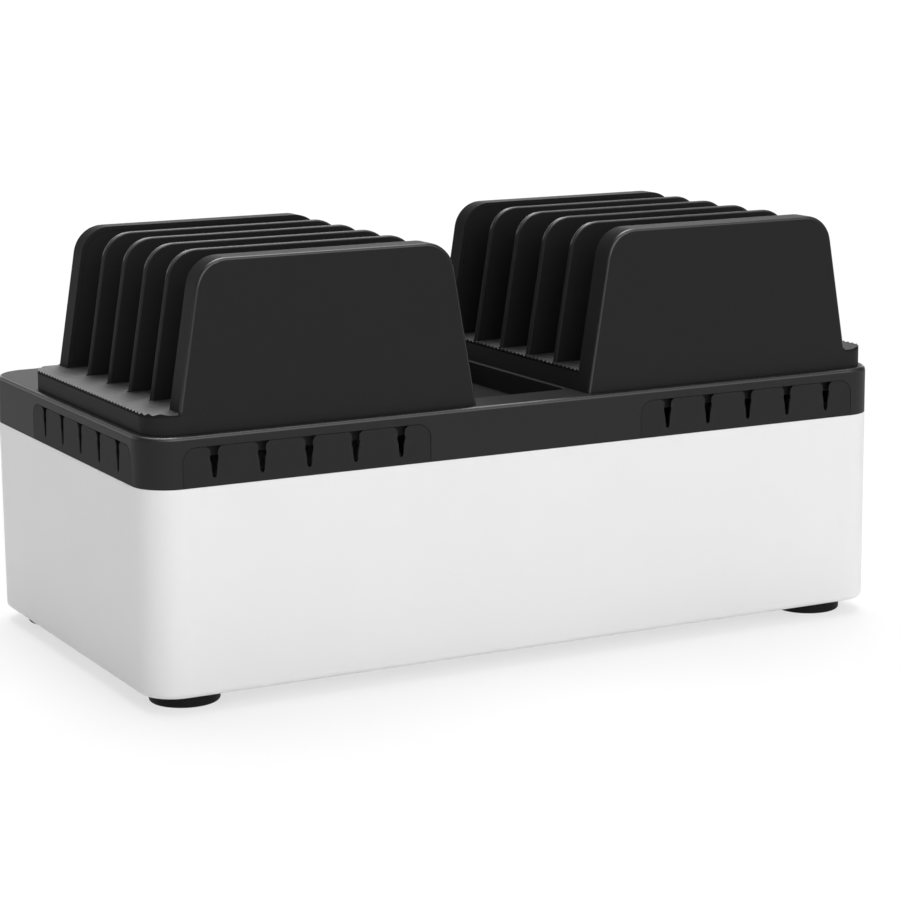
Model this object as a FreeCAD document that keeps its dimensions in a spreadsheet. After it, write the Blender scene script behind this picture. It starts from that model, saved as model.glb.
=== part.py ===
"""Charging station organizer for ten tablets or laptops.

A white base housing holds two power strips and the power adapters.
A black deck rests on its rim and carries two lift-out trays of five upright slots.
Rubber combs in the rim let the charging leads out at the front and at both ends.

Millimetres. The origin is on the floor under the middle of the base.
X runs to the right, Y to the back and Z up.
"""
import FreeCAD, Part
import math
import os
import types
import Sketcher

# Driving dimensions

SIZES = {
    # base housing
    "overall_width": 450.0,
    "overall_depth": 248.0,
    "corner_radius": 20.0,
    "base_height": 109.7,
    "base_wall": 3.0,
    "base_floor": 3.0,
    "base_edge_radius": 3.0,
    "post_radius": 7.0,
    "post_drop": 0.5,
    "vent_count": 18,
    "vent_width": 3.0,
    "vent_height": 30.0,
    "vent_low_height": 25.0,
    "vent_side_margin": 66.5,
    "vent_panel_gap": 67.5,
    # feet
    "foot_height": 8.0,
    "foot_radius": 18.75,
    "foot_inset": 28.5,
    "foot_chamfer": 1.2,
    "foot_bore_radius": 6.0,
    "foot_bore_depth": 4.0,
    "foot_screw_radius": 2.0,
    "foot_screw_bite": 14.0,
    "foot_screw_head_radius": 4.5,
    "foot_screw_head_height": 2.6,
    # combs
    "comb_thickness": 5.5,
    "comb_height": 20.6,
    "comb_corner_radius": 7.5,
    "comb_gap": 0.3,
    "comb_tongue": 2.2,
    "comb_tongue_depth": 12.0,
    "comb_channel_wall": 2.0,
    "front_comb_width": 140.0,
    "front_slot_margin": 17.1,
    "side_comb_width": 150.0,
    "side_comb_setback": 0.4,
    "side_slot_margin": 19.0,
    "slot_count": 5,
    "slot_width": 4.0,
    "slot_depth": 16.3,
    # power strips
    "strip_end_margin": 55.0,
    "strip_width": 48.0,
    "strip_height": 34.0,
    "strip_wall": 2.5,
    "strip_cover": 3.0,
    "strip_boss_radius": 4.5,
    "strip_boss_inset": 12.0,
    "front_strip_margin": 58.0,
    "rear_strip_margin": 94.0,
    "outlet_count": 5,
    "outlet_end_margin": 46.0,
    "outlet_length": 30.0,
    "outlet_width": 34.0,
    "outlet_lip": 1.6,
    "outlet_depth": 9.0,
    "outlet_gap": 0.2,
    "blade_slot_width": 2.4,
    "blade_slot_length": 8.0,
    "blade_slot_spread": 12.7,
    "earth_slot_width": 5.0,
    "earth_slot_length": 5.6,
    "earth_slot_drop": 11.0,
    "strip_screw_radius": 1.6,
    "strip_screw_bite": 10.0,
    "strip_screw_head_radius": 3.2,
    "strip_screw_head_height": 2.0,
    # rear connection panel
    "panel_recess": 5.0,
    "panel_side_margin": 43.0,
    "panel_width": 120.0,
    "panel_half_height": 20.0,
    "fittings_height": 54.0,
    "inlet_inset": 32.0,
    "inlet_flange_width": 50.0,
    "inlet_flange_height": 24.0,
    "inlet_flange": 2.5,
    "inlet_width": 28.0,
    "inlet_height": 20.0,
    "inlet_depth": 30.0,
    "inlet_wall": 2.0,
    "inlet_socket_depth": 17.0,
    "inlet_pin_width": 2.0,
    "inlet_pin_height": 4.0,
    "inlet_pin_length": 11.5,
    "inlet_pin_spread": 7.0,
    "inlet_pin_rise": 2.0,
    "inlet_screw_spread": 20.0,
    "inlet_screw_radius": 1.5,
    "inlet_screw_bite": 8.0,
    "inlet_screw_head_radius": 2.8,
    "inlet_screw_head_height": 1.6,
    "switch_spacing": 40.0,
    "switch_width": 13.0,
    "switch_height": 19.0,
    "switch_flange": 2.0,
    "switch_lip": 1.5,
    "switch_depth": 20.0,
    "switch_well_width": 11.0,
    "switch_well_height": 17.0,
    "switch_well_depth": 9.0,
    "rocker_width": 10.6,
    "rocker_half_height": 7.8,
    "rocker_front": 3.2,
    "rocker_dip": 1.9,
    "rocker_back": 3.0,
    "rocker_tilt": 9.0,
    "rocker_pin_radius": 1.2,
    "rocker_pin_reach": 0.7,
    "rocker_pin_clearance": 0.05,
    "rocker_pivot_depth": 0.5,
    "breaker_spacing": 30.0,
    "breaker_bush_radius": 6.0,
    "breaker_bush_reach": 2.8,
    "breaker_width": 16.0,
    "breaker_height": 30.0,
    "breaker_depth": 26.0,
    "breaker_nut_radius": 8.5,
    "breaker_nut": 2.4,
    "breaker_nut_gap": 0.1,
    "button_radius": 3.6,
    "button_gap": 0.3,
    "button_length": 13.4,
    "button_reach": 1.6,
    "button_travel": 2.5,
    "fitting_gap": 0.2,
    # inner leads
    "lead_radius": 2.4,
    "lead_bend": 7.0,
    "lead_run": 14.0,
    "lead_spread": 4.0,
    "lead_entry_height": 18.0,
    "link_lead_inset": 70.0,
    # deck
    "deck_height": 26.9,
    "deck_wall": 3.0,
    "deck_plate": 3.0,
    "deck_edge_radius": 2.6,
    "keeper_thickness": 2.0,
    "keeper_drop": 9.1,
    "guide_pin_radius": 4.0,
    "guide_pin_reach": 12.0,
    "guide_pin_clearance": 0.3,
    "trough_half_width": 32.2,
    "trough_length": 139.0,
    "trough_depth": 12.6,
    "trough_wall": 2.5,
    "trough_corner_radius": 4.0,
    "trough_rim_radius": 0.6,
    "peg_radius": 5.0,
    "peg_height": 4.5,
    "peg_clearance": 0.3,
    # trays
    "tray_front_inset": 4.8,
    "tray_depth": 180.5,
    "tray_side_inset": 4.2,
    "tray_inner_x": 34.3,
    "tray_corner_radius": 14.7,
    "tray_base_height": 11.4,
    "tray_wall": 2.5,
    "tray_floor": 2.5,
    "side_lean_share": 0.169,
    "shelf_width": 16.8,
    "end_top_height": 88.5,
    "end_thickness": 14.0,
    "end_skin": 2.5,
    "end_rim": 2.5,
    "end_panel": 2.5,
    "end_panel_gap": 0.15,
    "end_corner_radius": 17.0,
    "end_edge_radius": 2.0,
    "end_boss_radius": 3.4,
    "end_boss_inset_x": 26.0,
    "end_boss_low": 20.0,
    "end_boss_high": 62.0,
    "end_screw_radius": 1.4,
    "end_screw_bite": 6.0,
    "end_screw_head_radius": 2.6,
    "end_screw_head_height": 1.2,
    # ribbed mats
    "mat_sheet": 1.1,
    "rib_height": 1.0,
    "rib_count": 41,
    "rib_foot": 4.35,
    "rib_crest": 0.3,
    "mat_gap": 0.15,
    "mat_corner_steps": 8,
    # thin dividers
    "divider_count": 4,
    "divider_thickness": 3.2,
    "divider_inset": 1.2,
    "divider_groove": 1.2,
    "divider_gap": 0.1,
    "divider_edge_radius": 1.0,
    "divider_screw_radius": 0.9,
    "divider_screw_bite": 7.0,
    "divider_screw_gap": 0.05,
    "divider_screw_head_radius": 2.0,
    "divider_screw_head_height": 1.4,
    "divider_screw_share": 0.36,
    # cuts run this far past the faces that they open, and joined solids this far into each other
    "overrun": 1.0,
}

# Slot outline of a comb, from its mouth down: share of the depth, share of the width
SLOT_SHARES = ((0.0, 1.62), (0.07, 1.2), (0.16, 0.94), (0.26, 0.9), (0.36, 1.0), (0.52, 0.7),
               (0.70, 0.61), (0.88, 0.46), (0.97, 0.38), (1.0, 0.2))

document = FreeCAD.newDocument("ChargingStation")
sheet = document.addObject("Spreadsheet::Sheet", "Sizes")
for row, (name, number) in enumerate(SIZES.items(), start=1):
    sheet.set(f"A{row}", name)
    sheet.set(f"B{row}", str(number))
    sheet.setAlias(f"B{row}", name)
document.recompute()


class Formula(str):
    """A size as a sheet formula: sums and products of sizes stay bound to the sheet."""

    def __add__(self, other):
        return Formula(f"({self} + {other})")

    def __radd__(self, other):
        return Formula(f"({other} + {self})")

    def __sub__(self, other):
        return Formula(f"({self} - {other})")

    def __rsub__(self, other):
        return Formula(f"({other} - {self})")

    def __mul__(self, other):
        return Formula(f"({self} * {other})")

    def __rmul__(self, other):
        return Formula(f"({other} * {self})")

    def __truediv__(self, other):
        return Formula(f"({self} / {other})")

    def __neg__(self):
        return Formula(f"(-1 * {self})")


size = types.SimpleNamespace(**{name: Formula(f"Sizes.{name}") for name in SIZES})
zero = Formula("0")
parts = []


def value(formula):
    """The number that a formula gives with the present sizes."""
    return float(sheet.evalExpression(str(formula)))


# Bodies, sketches and features

def new_body(label):
    """A sub-part built from sketches, kept for export."""
    body = document.addObject("PartDesign::Body", label)
    body.Label = label
    parts.append(body)
    return body


def sketch_on(body, role, offset):
    """A sketch on one of the body's own origin planes, moved along the plane's normal."""
    plane = next(item for item in body.Origin.OriginFeatures if item.Role == role)
    sketch = body.newObject("Sketcher::SketchObject", "Sketch")
    sketch.AttachmentSupport = (plane, [""])
    sketch.MapMode = "FlatFace"
    sketch.setExpression("AttachmentOffset.Base.z", str(offset))
    return sketch


def flat_sketch(body, z):
    """A level sketch at height z, with sketch x and y along X and Y."""
    return sketch_on(body, "XY_Plane", z)


def upright_sketch(body, y):
    """A sketch facing the front at depth y, with sketch x and y along X and Z."""
    return sketch_on(body, "XZ_Plane", -y)


def bind(sketch, constraints, formulas):
    """Add dimensions to a sketch and tie each one to its formula."""
    indices = sketch.addConstraint(constraints)
    for index, formula in zip(indices, formulas):
        sketch.setExpression(f"Constraints[{index}]", str(formula))


def outline(sketch, points):
    """A closed straight outline whose corners are pairs of formulas."""
    corners = [FreeCAD.Vector(value(x), value(y), 0) for x, y in points]
    first = sketch.GeometryCount
    count = len(points)
    for number in range(count):
        sketch.addGeometry(Part.LineSegment(corners[number], corners[(number + 1) % count]))
    joins = []
    for number in range(count):
        joins.append(Sketcher.Constraint("Coincident", first + number, 2, first + (number + 1) % count, 1))
    sketch.addConstraint(joins)
    dimensions = []
    formulas = []
    for number, (x, y) in enumerate(points):
        dimensions.append(Sketcher.Constraint("DistanceX", -1, 1, first + number, 1, corners[number].x))
        dimensions.append(Sketcher.Constraint("DistanceY", -1, 1, first + number, 1, corners[number].y))
        formulas += [x, y]
    bind(sketch, dimensions, formulas)


def rectangle(sketch, low_x, low_y, high_x, high_y):
    """A rectangle between two opposite corners."""
    outline(sketch, [(low_x, low_y), (high_x, low_y), (high_x, high_y), (low_x, high_y)])


def circle(sketch, x, y, radius):
    """A circle with its centre and radius as formulas."""
    centre = FreeCAD.Vector(value(x), value(y), 0)
    index = sketch.addGeometry(Part.Circle(centre, FreeCAD.Vector(0, 0, 1), value(radius)))
    dimensions = [
        Sketcher.Constraint("DistanceX", -1, 1, index, 3, centre.x),
        Sketcher.Constraint("DistanceY", -1, 1, index, 3, centre.y),
        Sketcher.Constraint("Radius", index, value(radius)),
    ]
    bind(sketch, dimensions, [x, y, radius])


def feature(body, kind, sketch, length, reverse):
    """A pad or pocket of the sketch; a pocket must take material away and a pad add some."""
    before = body.Shape.Volume if body.Tip else 0
    made = body.newObject(f"PartDesign::{kind}", kind)
    made.Profile = sketch
    made.setExpression("Length", str(length))
    made.Reversed = reverse
    document.recompute()
    grew = body.Shape.Volume > before
    if grew != (kind == "Pad"):
        raise ValueError(f"{body.Label}: {kind} points away from the solid")
    return made


def pad_up(body, sketch, length):
    """Pad along the sketch's normal."""
    return feature(body, "Pad", sketch, length, False)


def pad_down(body, sketch, length):
    """Pad against the sketch's normal: down from a level sketch, back from an upright one."""
    return feature(body, "Pad", sketch, length, True)


def pocket_down(body, sketch, depth):
    """Cut against the sketch's normal: down from a level sketch, back from an upright one."""
    return feature(body, "Pocket", sketch, depth, False)


def pocket_up(body, sketch, depth):
    """Cut along the sketch's normal: up from a level sketch, towards the front from an upright one."""
    return feature(body, "Pocket", sketch, depth, True)


def pattern(body, original, sketch, length, count):
    """Repeat a pad or pocket evenly along its sketch's x direction."""
    row = body.newObject("PartDesign::LinearPattern", "Row")
    row.Originals = [original]
    row.Direction = (sketch, ["H_Axis"])
    row.setExpression("Length", str(length))
    row.setExpression("Occurrences", str(count))
    body.Tip = row
    document.recompute()


PLACE_TOLERANCE = 1e-4
TURN_TOLERANCE = 1e-6


def near(number, formula):
    """Whether a measured coordinate is at a formula's place."""
    return abs(number - value(formula)) < PLACE_TOLERANCE


def runs_along(edge, direction):
    """Whether an edge is a straight line along X, Y or Z."""
    if edge.Curve.TypeId != "Part::GeomLine":
        return False
    return abs(abs(edge.Curve.Direction.dot(FreeCAD.Vector(*direction))) - 1) < TURN_TOLERANCE


def fillet(body, radius, wanted):
    """Round the body's edges that the test picks."""
    edges = [f"Edge{number}" for number, edge in enumerate(body.Shape.Edges, start=1) if wanted(edge)]
    if not edges:
        raise ValueError(f"{body.Label}: no edge to round")
    base = body.Tip
    rounded = body.newObject("PartDesign::Fillet", "Fillet")
    rounded.Base = (base, edges)
    rounded.setExpression("Radius", str(radius))
    document.recompute()
    if not rounded.isValid():
        raise ValueError(f"{body.Label}: an edge can't be rounded")


def upright_at(x, y):
    """A test for the upright edges at plus or minus x and y."""
    def test(edge):
        if not runs_along(edge, (0, 0, 1)):
            return False
        return near(abs(edge.CenterOfMass.x), x) and near(abs(edge.CenterOfMass.y), y)
    return test


def level_at(z):
    """A test for all edges that lie flat at height z."""
    def test(edge):
        box = edge.BoundBox
        return near(box.ZMin, z) and near(box.ZMax, z)
    return test


# Simple solids and groups

def place(item, x, y, z):
    """Tie the place of a sub-part to formulas."""
    for axis, formula in zip("xyz", (x, y, z)):
        item.setExpression(f"Placement.Base.{axis}", str(formula))


def box(name, low, high):
    """A plain block between two corners."""
    item = document.addObject("Part::Box", name)
    for axis, start, end in zip(("Length", "Width", "Height"), low, high):
        item.setExpression(axis, str(end - start))
    place(item, *low)
    return item


TURNS = {
    "up": FreeCAD.Rotation(),
    "down": FreeCAD.Rotation(FreeCAD.Vector(1, 0, 0), 180),
    "back": FreeCAD.Rotation(FreeCAD.Vector(1, 0, 0), -90),
    "front": FreeCAD.Rotation(FreeCAD.Vector(1, 0, 0), 90),
}


def cylinder(name, start, way, radius, length):
    """A round bar from a start point along one of the main directions."""
    item = document.addObject("Part::Cylinder", name)
    item.setExpression("Radius", str(radius))
    item.setExpression("Height", str(length))
    item.Placement = FreeCAD.Placement(FreeCAD.Vector(), TURNS[way])
    place(item, *start)
    return item


def fused(name, first, second):
    """Two solids joined into one."""
    item = document.addObject("Part::Fuse", name)
    item.Base = first
    item.Tool = second
    return item


def cut(name, first, second):
    """One solid with another taken out of it."""
    item = document.addObject("Part::Cut", name)
    item.Base = first
    item.Tool = second
    return item


def group(label, items):
    """Like pieces kept together as one sub-part of separate solids."""
    item = document.addObject("Part::Compound", label)
    item.Label = label
    item.Links = items
    parts.append(item)
    return item


REACH = {"up": (0, 0, 1), "down": (0, 0, -1), "back": (0, 1, 0), "front": (0, -1, 0)}


def screw(start, way, radius, bite, head_radius, head_height):
    """A pan-head screw: its head starts at the point and its shank follows, along the way given."""
    head = cylinder("Head", start, way, head_radius, head_height)
    under_head = [place_of + step * head_height for place_of, step in zip(start, REACH[way])]
    shank = cylinder("Shank", under_head, way, radius, bite)
    return fused("Screw", head, shank)


# Main planes of the object

half_width = size.overall_width / 2
half_depth = size.overall_depth / 2
base_bottom = size.foot_height
base_top = base_bottom + size.base_height
deck_top = base_top + size.deck_height
floor_top = base_bottom + size.base_floor
panel_face = half_depth - size.panel_recess
panel_back = panel_face - size.base_wall
corner_x = half_width - size.foot_inset
corner_y = half_depth - size.foot_inset
front_comb_x = half_width - size.corner_radius - size.front_comb_width / 2
side_comb_y = size.corner_radius + size.side_comb_setback + size.side_comb_width / 2 - half_depth
panel_high_x = half_width - size.panel_side_margin
panel_low_x = panel_high_x - size.panel_width
fittings_z = base_bottom + size.fittings_height
inlet_x = panel_high_x - size.inlet_inset
switch_x = inlet_x - size.switch_spacing
breaker_x = switch_x - size.breaker_spacing
half_strip = half_width - size.strip_end_margin
front_strip_y = size.front_strip_margin - half_depth
rear_strip_y = half_depth - size.rear_strip_margin
CORNERS = {
    "front_left": (-corner_x, -corner_y),
    "front_right": (corner_x, -corner_y),
    "rear_left": (-corner_x, corner_y),
    "rear_right": (corner_x, corner_y),
}

# Base housing: one white moulding, open at the top, with a post in each corner for the deck's guide pins
# and the foot screws, a channel behind the rim for each comb, and a sunk panel for the mains fittings

housing = new_body("base_housing")
inside_x = half_width - size.base_wall
inside_y = half_depth - size.base_wall
sketch = flat_sketch(housing, base_bottom)
rectangle(sketch, -half_width, -half_depth, half_width, half_depth)
pad_up(housing, sketch, size.base_height)
sketch = flat_sketch(housing, base_top)
rectangle(sketch, -inside_x, -inside_y, inside_x, inside_y)
pocket_down(housing, sketch, size.base_height - size.base_floor)
fillet(housing, size.corner_radius, upright_at(half_width, half_depth))
fillet(housing, size.corner_radius - size.base_wall, upright_at(inside_x, inside_y))
fillet(housing, size.base_edge_radius, level_at(base_bottom))

post_top = base_top - size.post_drop
sketch = flat_sketch(housing, floor_top)
for x, y in CORNERS.values():
    circle(sketch, x, y, size.post_radius)
pad_up(housing, sketch, post_top - floor_top)
sketch = flat_sketch(housing, post_top)
for x, y in CORNERS.values():
    circle(sketch, x, y, size.guide_pin_radius + size.guide_pin_clearance)
pocket_down(housing, sketch, size.guide_pin_reach + size.overrun)
sketch = flat_sketch(housing, base_bottom)
for x, y in CORNERS.values():
    circle(sketch, x, y, size.foot_screw_radius)
pocket_up(housing, sketch, size.foot_screw_bite + size.overrun)


def comb_places(outer_grow, inner_grow, length_grow):
    """Rectangles behind the rim where the four comb tongues go, grown by the given lengths."""
    near_wall = size.base_wall - outer_grow
    far_wall = size.base_wall + size.comb_tongue + inner_grow
    half_front = size.front_comb_width / 2 + length_grow
    half_side = size.side_comb_width / 2 + length_grow
    for centre in (-front_comb_x, front_comb_x):
        yield centre - half_front, near_wall - half_depth, centre + half_front, far_wall - half_depth
    low_y = side_comb_y - half_side
    high_y = side_comb_y + half_side
    yield near_wall - half_width, low_y, far_wall - half_width, high_y
    yield half_width - far_wall, low_y, half_width - near_wall, high_y


channel_grow = size.comb_gap + size.comb_channel_wall
sketch = flat_sketch(housing, base_top - size.post_drop)
for place_of_comb in comb_places(size.overrun, channel_grow, channel_grow):
    rectangle(sketch, *place_of_comb)
pad_down(housing, sketch, size.comb_tongue_depth + channel_grow)
sketch = flat_sketch(housing, base_top - size.post_drop)
for place_of_comb in comb_places(zero, size.comb_gap, size.comb_gap):
    rectangle(sketch, *place_of_comb)
pocket_down(housing, sketch, size.comb_tongue_depth + size.comb_gap)

panel_low_z = fittings_z - size.panel_half_height
panel_high_z = fittings_z + size.panel_half_height
sketch = upright_sketch(housing, panel_back)
rectangle(sketch, panel_low_x - size.base_wall, panel_low_z - size.base_wall,
          panel_high_x + size.base_wall, panel_high_z + size.base_wall)
pad_down(housing, sketch, inside_y - panel_back + size.overrun)
sketch = upright_sketch(housing, half_depth)
rectangle(sketch, panel_low_x, panel_low_z, panel_high_x, panel_high_z)
pocket_up(housing, sketch, size.panel_recess)
sketch = upright_sketch(housing, panel_face)
half_inlet = size.inlet_width / 2 + size.fitting_gap
half_inlet_height = size.inlet_height / 2 + size.fitting_gap
rectangle(sketch, inlet_x - half_inlet, fittings_z - half_inlet_height,
          inlet_x + half_inlet, fittings_z + half_inlet_height)
half_switch = size.switch_width / 2 + size.fitting_gap
half_switch_height = size.switch_height / 2 + size.fitting_gap
rectangle(sketch, switch_x - half_switch, fittings_z - half_switch_height,
          switch_x + half_switch, fittings_z + half_switch_height)
circle(sketch, breaker_x, fittings_z, size.breaker_bush_radius + size.fitting_gap)
for side in (-1, 1):
    circle(sketch, inlet_x + side * size.inlet_screw_spread, fittings_z, size.inlet_screw_radius)
pocket_up(housing, sketch, size.base_wall + size.overrun)
sketch = upright_sketch(housing, half_depth)
vent_x = size.vent_side_margin - half_width
vent_row = panel_low_x - size.vent_panel_gap - vent_x
vent_low_z = base_bottom + size.vent_low_height
rectangle(sketch, vent_x - size.vent_width / 2, vent_low_z,
          vent_x + size.vent_width / 2, vent_low_z + size.vent_height)
vent = pocket_up(housing, sketch, size.base_wall + size.overrun)
pattern(housing, vent, sketch, vent_row, size.vent_count)

STRIPS = {"front": front_strip_y, "rear": rear_strip_y}
boss_x = half_strip - size.strip_boss_inset
sketch = flat_sketch(housing, base_bottom)
for strip_y in STRIPS.values():
    for side in (-1, 1):
        circle(sketch, side * boss_x, strip_y, size.strip_screw_radius)
pocket_up(housing, sketch, size.base_floor + size.overrun)

# Rubber feet: turned pads, each held by a screw that goes up into the corner post

foot_screws = []
for corner, (x, y) in CORNERS.items():
    foot = new_body(f"foot_{corner}")
    sketch = upright_sketch(foot, zero)
    outline(sketch, [
        (size.foot_bore_radius, zero),
        (size.foot_radius - size.foot_chamfer, zero),
        (size.foot_radius, size.foot_chamfer),
        (size.foot_radius, size.foot_height),
        (size.foot_screw_radius, size.foot_height),
        (size.foot_screw_radius, size.foot_bore_depth),
        (size.foot_bore_radius, size.foot_bore_depth),
    ])
    turned = foot.newObject("PartDesign::Revolution", "Revolution")
    turned.Profile = sketch
    turned.ReferenceAxis = (sketch, ["V_Axis"])
    turned.Angle = 360
    place(foot, x, y, zero)
    head_bottom = size.foot_bore_depth - size.foot_screw_head_height
    bite = size.foot_height - size.foot_bore_depth + size.foot_screw_bite
    foot_screws.append(screw((x, y, head_bottom), "up", size.foot_screw_radius, bite,
                             size.foot_screw_head_radius, size.foot_screw_head_height))
group("foot_screws", foot_screws)

# Rubber combs: a slotted blade on the rim, flush with the housing, on a tongue that sits in its channel


def comb(label, width, slot_margin, turn, x, y):
    """A comb made facing the front, with its outer face at depth zero and the rim at height zero."""
    body = new_body(label)
    half = width / 2
    face = upright_sketch(body, zero)
    rectangle(face, -half, zero, half, size.comb_height)
    pad_down(body, face, size.comb_thickness)

    def top_corner(edge):
        if not runs_along(edge, (0, 1, 0)):
            return False
        return near(edge.CenterOfMass.z, size.comb_height) and near(abs(edge.CenterOfMass.x), half)

    fillet(body, size.comb_corner_radius, top_corner)
    tongue = upright_sketch(body, size.base_wall)
    rectangle(tongue, -half, -size.comb_tongue_depth, half, size.overrun)
    pad_down(body, tongue, size.comb_tongue)
    slot = upright_sketch(body, zero)
    row_length = width - 2 * slot_margin
    right_side = []
    left_side = []
    for depth_share, width_share in SLOT_SHARES:
        height = size.comb_height - size.slot_depth * depth_share
        right_side.append((size.slot_width * width_share / 2 - row_length / 2, height))
        left_side.append((-row_length / 2 - size.slot_width * width_share / 2, height))
    mouth_right = (right_side[0][0], size.comb_height + size.overrun)
    mouth_left = (left_side[0][0], size.comb_height + size.overrun)
    outline(slot, [mouth_right] + right_side + left_side[::-1] + [mouth_left])
    slot_cut = pocket_down(body, slot, size.comb_thickness + size.overrun)
    pattern(body, slot_cut, slot, row_length, size.slot_count)
    body.Placement = FreeCAD.Placement(FreeCAD.Vector(), FreeCAD.Rotation(FreeCAD.Vector(0, 0, 1), turn))
    place(body, x, y, base_top)


comb("front_left_comb", size.front_comb_width, size.front_slot_margin, 0, -front_comb_x, -half_depth)
comb("front_right_comb", size.front_comb_width, size.front_slot_margin, 0, front_comb_x, -half_depth)
comb("left_comb", size.side_comb_width, size.side_slot_margin, -90, -half_width, side_comb_y)
comb("right_comb", size.side_comb_width, size.side_slot_margin, 90, half_width, side_comb_y)

# Power strips: a long case on the floor, a cover and five outlets that face up to the adapters

strip_screws = []
cover_screws = []
cover_bottom = floor_top + size.strip_height
cover_top = cover_bottom + size.strip_cover
half_strip_width = size.strip_width / 2
outlet_pitch = 2 * (half_strip - size.outlet_end_margin) / (size.outlet_count - 1)


def outlet(x, y):
    """An outlet block that hangs under the cover, with two blade slots and an earth slot."""
    body = document.addObject("PartDesign::Body", "Outlet")
    half_length = size.outlet_length / 2
    half_wide = size.outlet_width / 2
    top = flat_sketch(body, cover_top)
    rectangle(top, x - half_length, y - half_wide, x + half_length, y + half_wide)
    pad_down(body, top, size.outlet_depth)
    lip = flat_sketch(body, cover_bottom)
    rectangle(lip, x - half_length - size.outlet_lip, y - half_wide - size.outlet_lip,
              x + half_length + size.outlet_lip, y + half_wide + size.outlet_lip)
    pad_down(body, lip, size.outlet_depth - size.strip_cover)
    holes = flat_sketch(body, cover_top)
    for side in (-1, 1):
        middle = x + side * size.blade_slot_spread / 2
        rectangle(holes, middle - size.blade_slot_width / 2, y,
                  middle + size.blade_slot_width / 2, y + size.blade_slot_length)
    earth_y = y + size.blade_slot_length / 2 - size.earth_slot_drop
    rectangle(holes, x - size.earth_slot_width / 2, earth_y - size.earth_slot_length / 2,
              x + size.earth_slot_width / 2, earth_y + size.earth_slot_length / 2)
    pocket_down(body, holes, size.outlet_depth + size.overrun)
    return body


for strip, strip_y in STRIPS.items():
    case = new_body(f"{strip}_strip_case")
    sketch = flat_sketch(case, floor_top)
    rectangle(sketch, -half_strip, strip_y - half_strip_width, half_strip, strip_y + half_strip_width)
    pad_up(case, sketch, size.strip_height)
    sketch = flat_sketch(case, cover_bottom)
    rectangle(sketch, size.strip_wall - half_strip, strip_y - half_strip_width + size.strip_wall,
              half_strip - size.strip_wall, strip_y + half_strip_width - size.strip_wall)
    pocket_down(case, sketch, size.strip_height - size.strip_wall)
    sketch = flat_sketch(case, floor_top)
    for side in (-1, 1):
        circle(sketch, side * boss_x, strip_y, size.strip_boss_radius)
    pad_up(case, sketch, size.strip_height)
    sketch = flat_sketch(case, floor_top)
    for side in (-1, 1):
        circle(sketch, side * boss_x, strip_y, size.strip_screw_radius)
    pocket_up(case, sketch, size.strip_height)

    cover = new_body(f"{strip}_strip_cover")
    sketch = flat_sketch(cover, cover_bottom)
    rectangle(sketch, -half_strip, strip_y - half_strip_width, half_strip, strip_y + half_strip_width)
    pad_up(cover, sketch, size.strip_cover)
    sketch = flat_sketch(cover, cover_top)
    half_hole = size.outlet_length / 2 + size.outlet_gap
    half_hole_width = size.outlet_width / 2 + size.outlet_gap
    outlets = []
    for number in range(SIZES["outlet_count"]):
        outlet_x = outlet_pitch * (number - (size.outlet_count - 1) / 2)
        rectangle(sketch, outlet_x - half_hole, strip_y - half_hole_width,
                  outlet_x + half_hole, strip_y + half_hole_width)
        outlets.append(outlet(outlet_x, strip_y))
    for side in (-1, 1):
        circle(sketch, side * boss_x, strip_y, size.strip_screw_radius)
    pocket_down(cover, sketch, size.strip_cover + size.overrun)
    group(f"{strip}_strip_outlets", outlets)
    for side in (-1, 1):
        under = base_bottom - size.strip_screw_head_height
        above = cover_top + size.strip_screw_head_height
        strip_screws.append(screw((side * boss_x, strip_y, under), "up", size.strip_screw_radius,
                                  size.strip_screw_bite, size.strip_screw_head_radius,
                                  size.strip_screw_head_height))
        cover_screws.append(screw((side * boss_x, strip_y, above), "down", size.strip_screw_radius,
                                  size.strip_screw_bite, size.strip_screw_head_radius,
                                  size.strip_screw_head_height))
group("strip_screws", strip_screws)
group("cover_screws", cover_screws)

# Power inlet: a flanged socket in the sunk rear panel, with three flat pins and two screws

inlet_front = panel_face + size.inlet_flange
inlet = new_body("power_inlet")
sketch = upright_sketch(inlet, panel_face)
rectangle(sketch, inlet_x - size.inlet_flange_width / 2, fittings_z - size.inlet_flange_height / 2,
          inlet_x + size.inlet_flange_width / 2, fittings_z + size.inlet_flange_height / 2)
pad_down(inlet, sketch, size.inlet_flange)
sketch = upright_sketch(inlet, inlet_front)
rectangle(sketch, inlet_x - size.inlet_width / 2, fittings_z - size.inlet_height / 2,
          inlet_x + size.inlet_width / 2, fittings_z + size.inlet_height / 2)
pad_up(inlet, sketch, size.inlet_depth)
socket_half_width = size.inlet_width / 2 - size.inlet_wall
socket_half_height = size.inlet_height / 2 - size.inlet_wall
sketch = upright_sketch(inlet, inlet_front)
rectangle(sketch, inlet_x - socket_half_width, fittings_z - socket_half_height,
          inlet_x + socket_half_width, fittings_z + socket_half_height)
for side in (-1, 1):
    circle(sketch, inlet_x + side * size.inlet_screw_spread, fittings_z, size.inlet_screw_radius)
pocket_up(inlet, sketch, size.inlet_socket_depth)

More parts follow.
